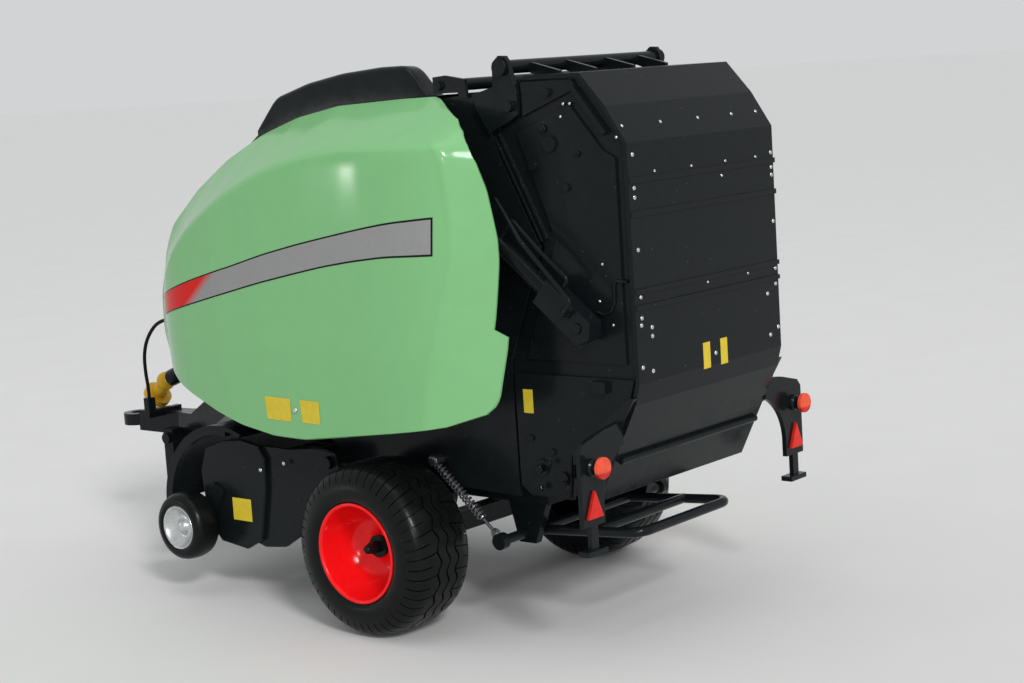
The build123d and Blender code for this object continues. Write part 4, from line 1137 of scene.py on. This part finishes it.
class BALER_OT_rear(bpy.types.Operator):
    """Lamp lenses, blank labels and rivets at the rear"""
    bl_idname = "baler.rear"
    bl_label = "Rear trim"

    def execute(self, context):
        finish = finishes()
        r = context.scene.baler_sizes.rivet_radius / MM
        both = ("tailgate", "tailgate")
        lens = stack((LAMP_X, *LENS_PLACE), BACK, LENS_RINGS, sides=40)
        pair("lamp_lens", *lens, both, (finish["lens"],), nodes=("lamp",), angle=30.0)
        neck = stack((LAMP_X, *NECK_PLACE), BACK, NECK_RINGS, sides=24)
        pair("lamp_neck", *neck, both, (finish["metal"],))

        plates = [boxed(x, (REAR_Y, REAR_Y + LABEL_THICK), REAR_LABEL_Z, LABEL_CHAMFER) for x in REAR_LABELS]
        make("rear_labels", *joined(*plates), "tailgate", (finish["yellow"],))
        pair("side_label", *boxed(*SIDE_LABEL, LABEL_CHAMFER), both, (finish["yellow"],))

        heads = [rivet((x, REAR_Y, z), BACK, r, RIVET_HEIGHT) for x, z in REAR_RIVETS]
        middling, small = r * TOP_RIVET_SHARE, r * SMALL_RIVET_SHARE
        heads += [rivet((x, *TOP_RIVETS_PLACE), TOP_RIVETS_AXIS, middling, RIVET_HEIGHT) for x in TOP_RIVETS]
        heads += [rivet((x, REAR_Y, z), BACK, small, RIVET_HEIGHT) for x, z in BELT_RIVETS]
        heads += [rivet((GATE_EDGE_X, *place), OUT, small, SIDE_RIVET_HEIGHT) for place in SIDE_RIVETS]
        make("edge_rivets", *joined(*heads), "tailgate", (finish["silver"],))

        bolts = [nut((UPPER_BOLTS_X, y, z), OUT, size, BOLT_HEIGHT) for y, z, size in UPPER_BOLTS]
        bolts += [nut((GATE_SIDE_X, y, z), OUT, size, BOLT_HEIGHT) for y, z, size in LOWER_BOLTS]
        hook = swept([(HOOK_X, *place) for place in HOOK_LINE], HOOK_WIRE, 8)
        pair("side_bolts", *joined(*bolts, hook), both, (finish["metal"],), angle=35.0)
        return {"FINISHED"}


class BALER_OT_fairing(bpy.types.Operator):
    """Black fairing on the left edge of the roof"""
    bl_idname = "baler.fairing"
    bl_label = "Roof fairing"

    def execute(self, context):
        piece = make("fairing_skin", *fairing_shell(), "chassis", (finishes()["metal"],), angle=50.0)
        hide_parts("top_fairing")
        return {"FINISHED"}


# the pickup's housings: spans of the label, and (y, z) of the rivets
PICKUP_LABEL_HALF = 0.05
PICKUP_LABEL_X = (PICKUP_FACE_X - PICKUP_LABEL_HALF, PICKUP_FACE_X + PICKUP_LABEL_HALF)
PICKUP_LABEL = (PICKUP_LABEL_X, (-44.3, -38.9), (15.4, 19.9))
PICKUP_RIVETS = ((-35.2, 26.2), (-28.4, 28.1))


class BALER_OT_front(bpy.types.Operator):
    """Blank label and rivets on the pickup housings"""
    bl_idname = "baler.front"
    bl_label = "Pickup trim"

    def execute(self, context):
        finish = finishes()
        both = ("pickup", "pickup")
        pair("pickup_label", *boxed(*PICKUP_LABEL, LABEL_CHAMFER), both, (finish["yellow"],))
        heads = [rivet((PICKUP_FACE_X, *place), OUT, r=0.45, height=0.35) for place in PICKUP_RIVETS]
        pair("pickup_rivets", *joined(*heads), both, (finish["silver"],))
        return {"FINISHED"}


class BALER_PT_panel(bpy.types.Panel):
    """Lists the pieces, then the sizes and colours that they take"""
    bl_idname = "BALER_PT_panel"
    bl_label = "Round Baler"
    bl_space_type = "VIEW_3D"
    bl_region_type = "UI"
    bl_category = "Baler"

    def draw(self, context):
        for operator in OPERATORS:
            self.layout.operator(operator.bl_idname)
        for group in (context.scene.baler_sizes, context.scene.baler_colours):
            for key in group.__annotations__:
                self.layout.prop(group, key)


OPERATORS = (
    BALER_OT_stage, BALER_OT_plain, BALER_OT_panels, BALER_OT_wheels, BALER_OT_springs, BALER_OT_hose,
    BALER_OT_fairing, BALER_OT_front, BALER_OT_rear,
)
CLASSES = (BalerColours, BalerSizes, *OPERATORS, BALER_PT_panel)


def register():
    for item in CLASSES:
        bpy.utils.register_class(item)
    bpy.types.Scene.baler_colours = PointerProperty(type=BalerColours)
    bpy.types.Scene.baler_sizes = PointerProperty(type=BalerSizes)


def unregister():
    del bpy.types.Scene.baler_sizes
    del bpy.types.Scene.baler_colours
    for item in reversed(CLASSES):
        bpy.utils.unregister_class(item)


def main():
    register()
    for operator in OPERATORS:
        group, name = operator.bl_idname.split(".")
        getattr(getattr(bpy.ops, group), name)()


if __name__ == "__main__":
    main()
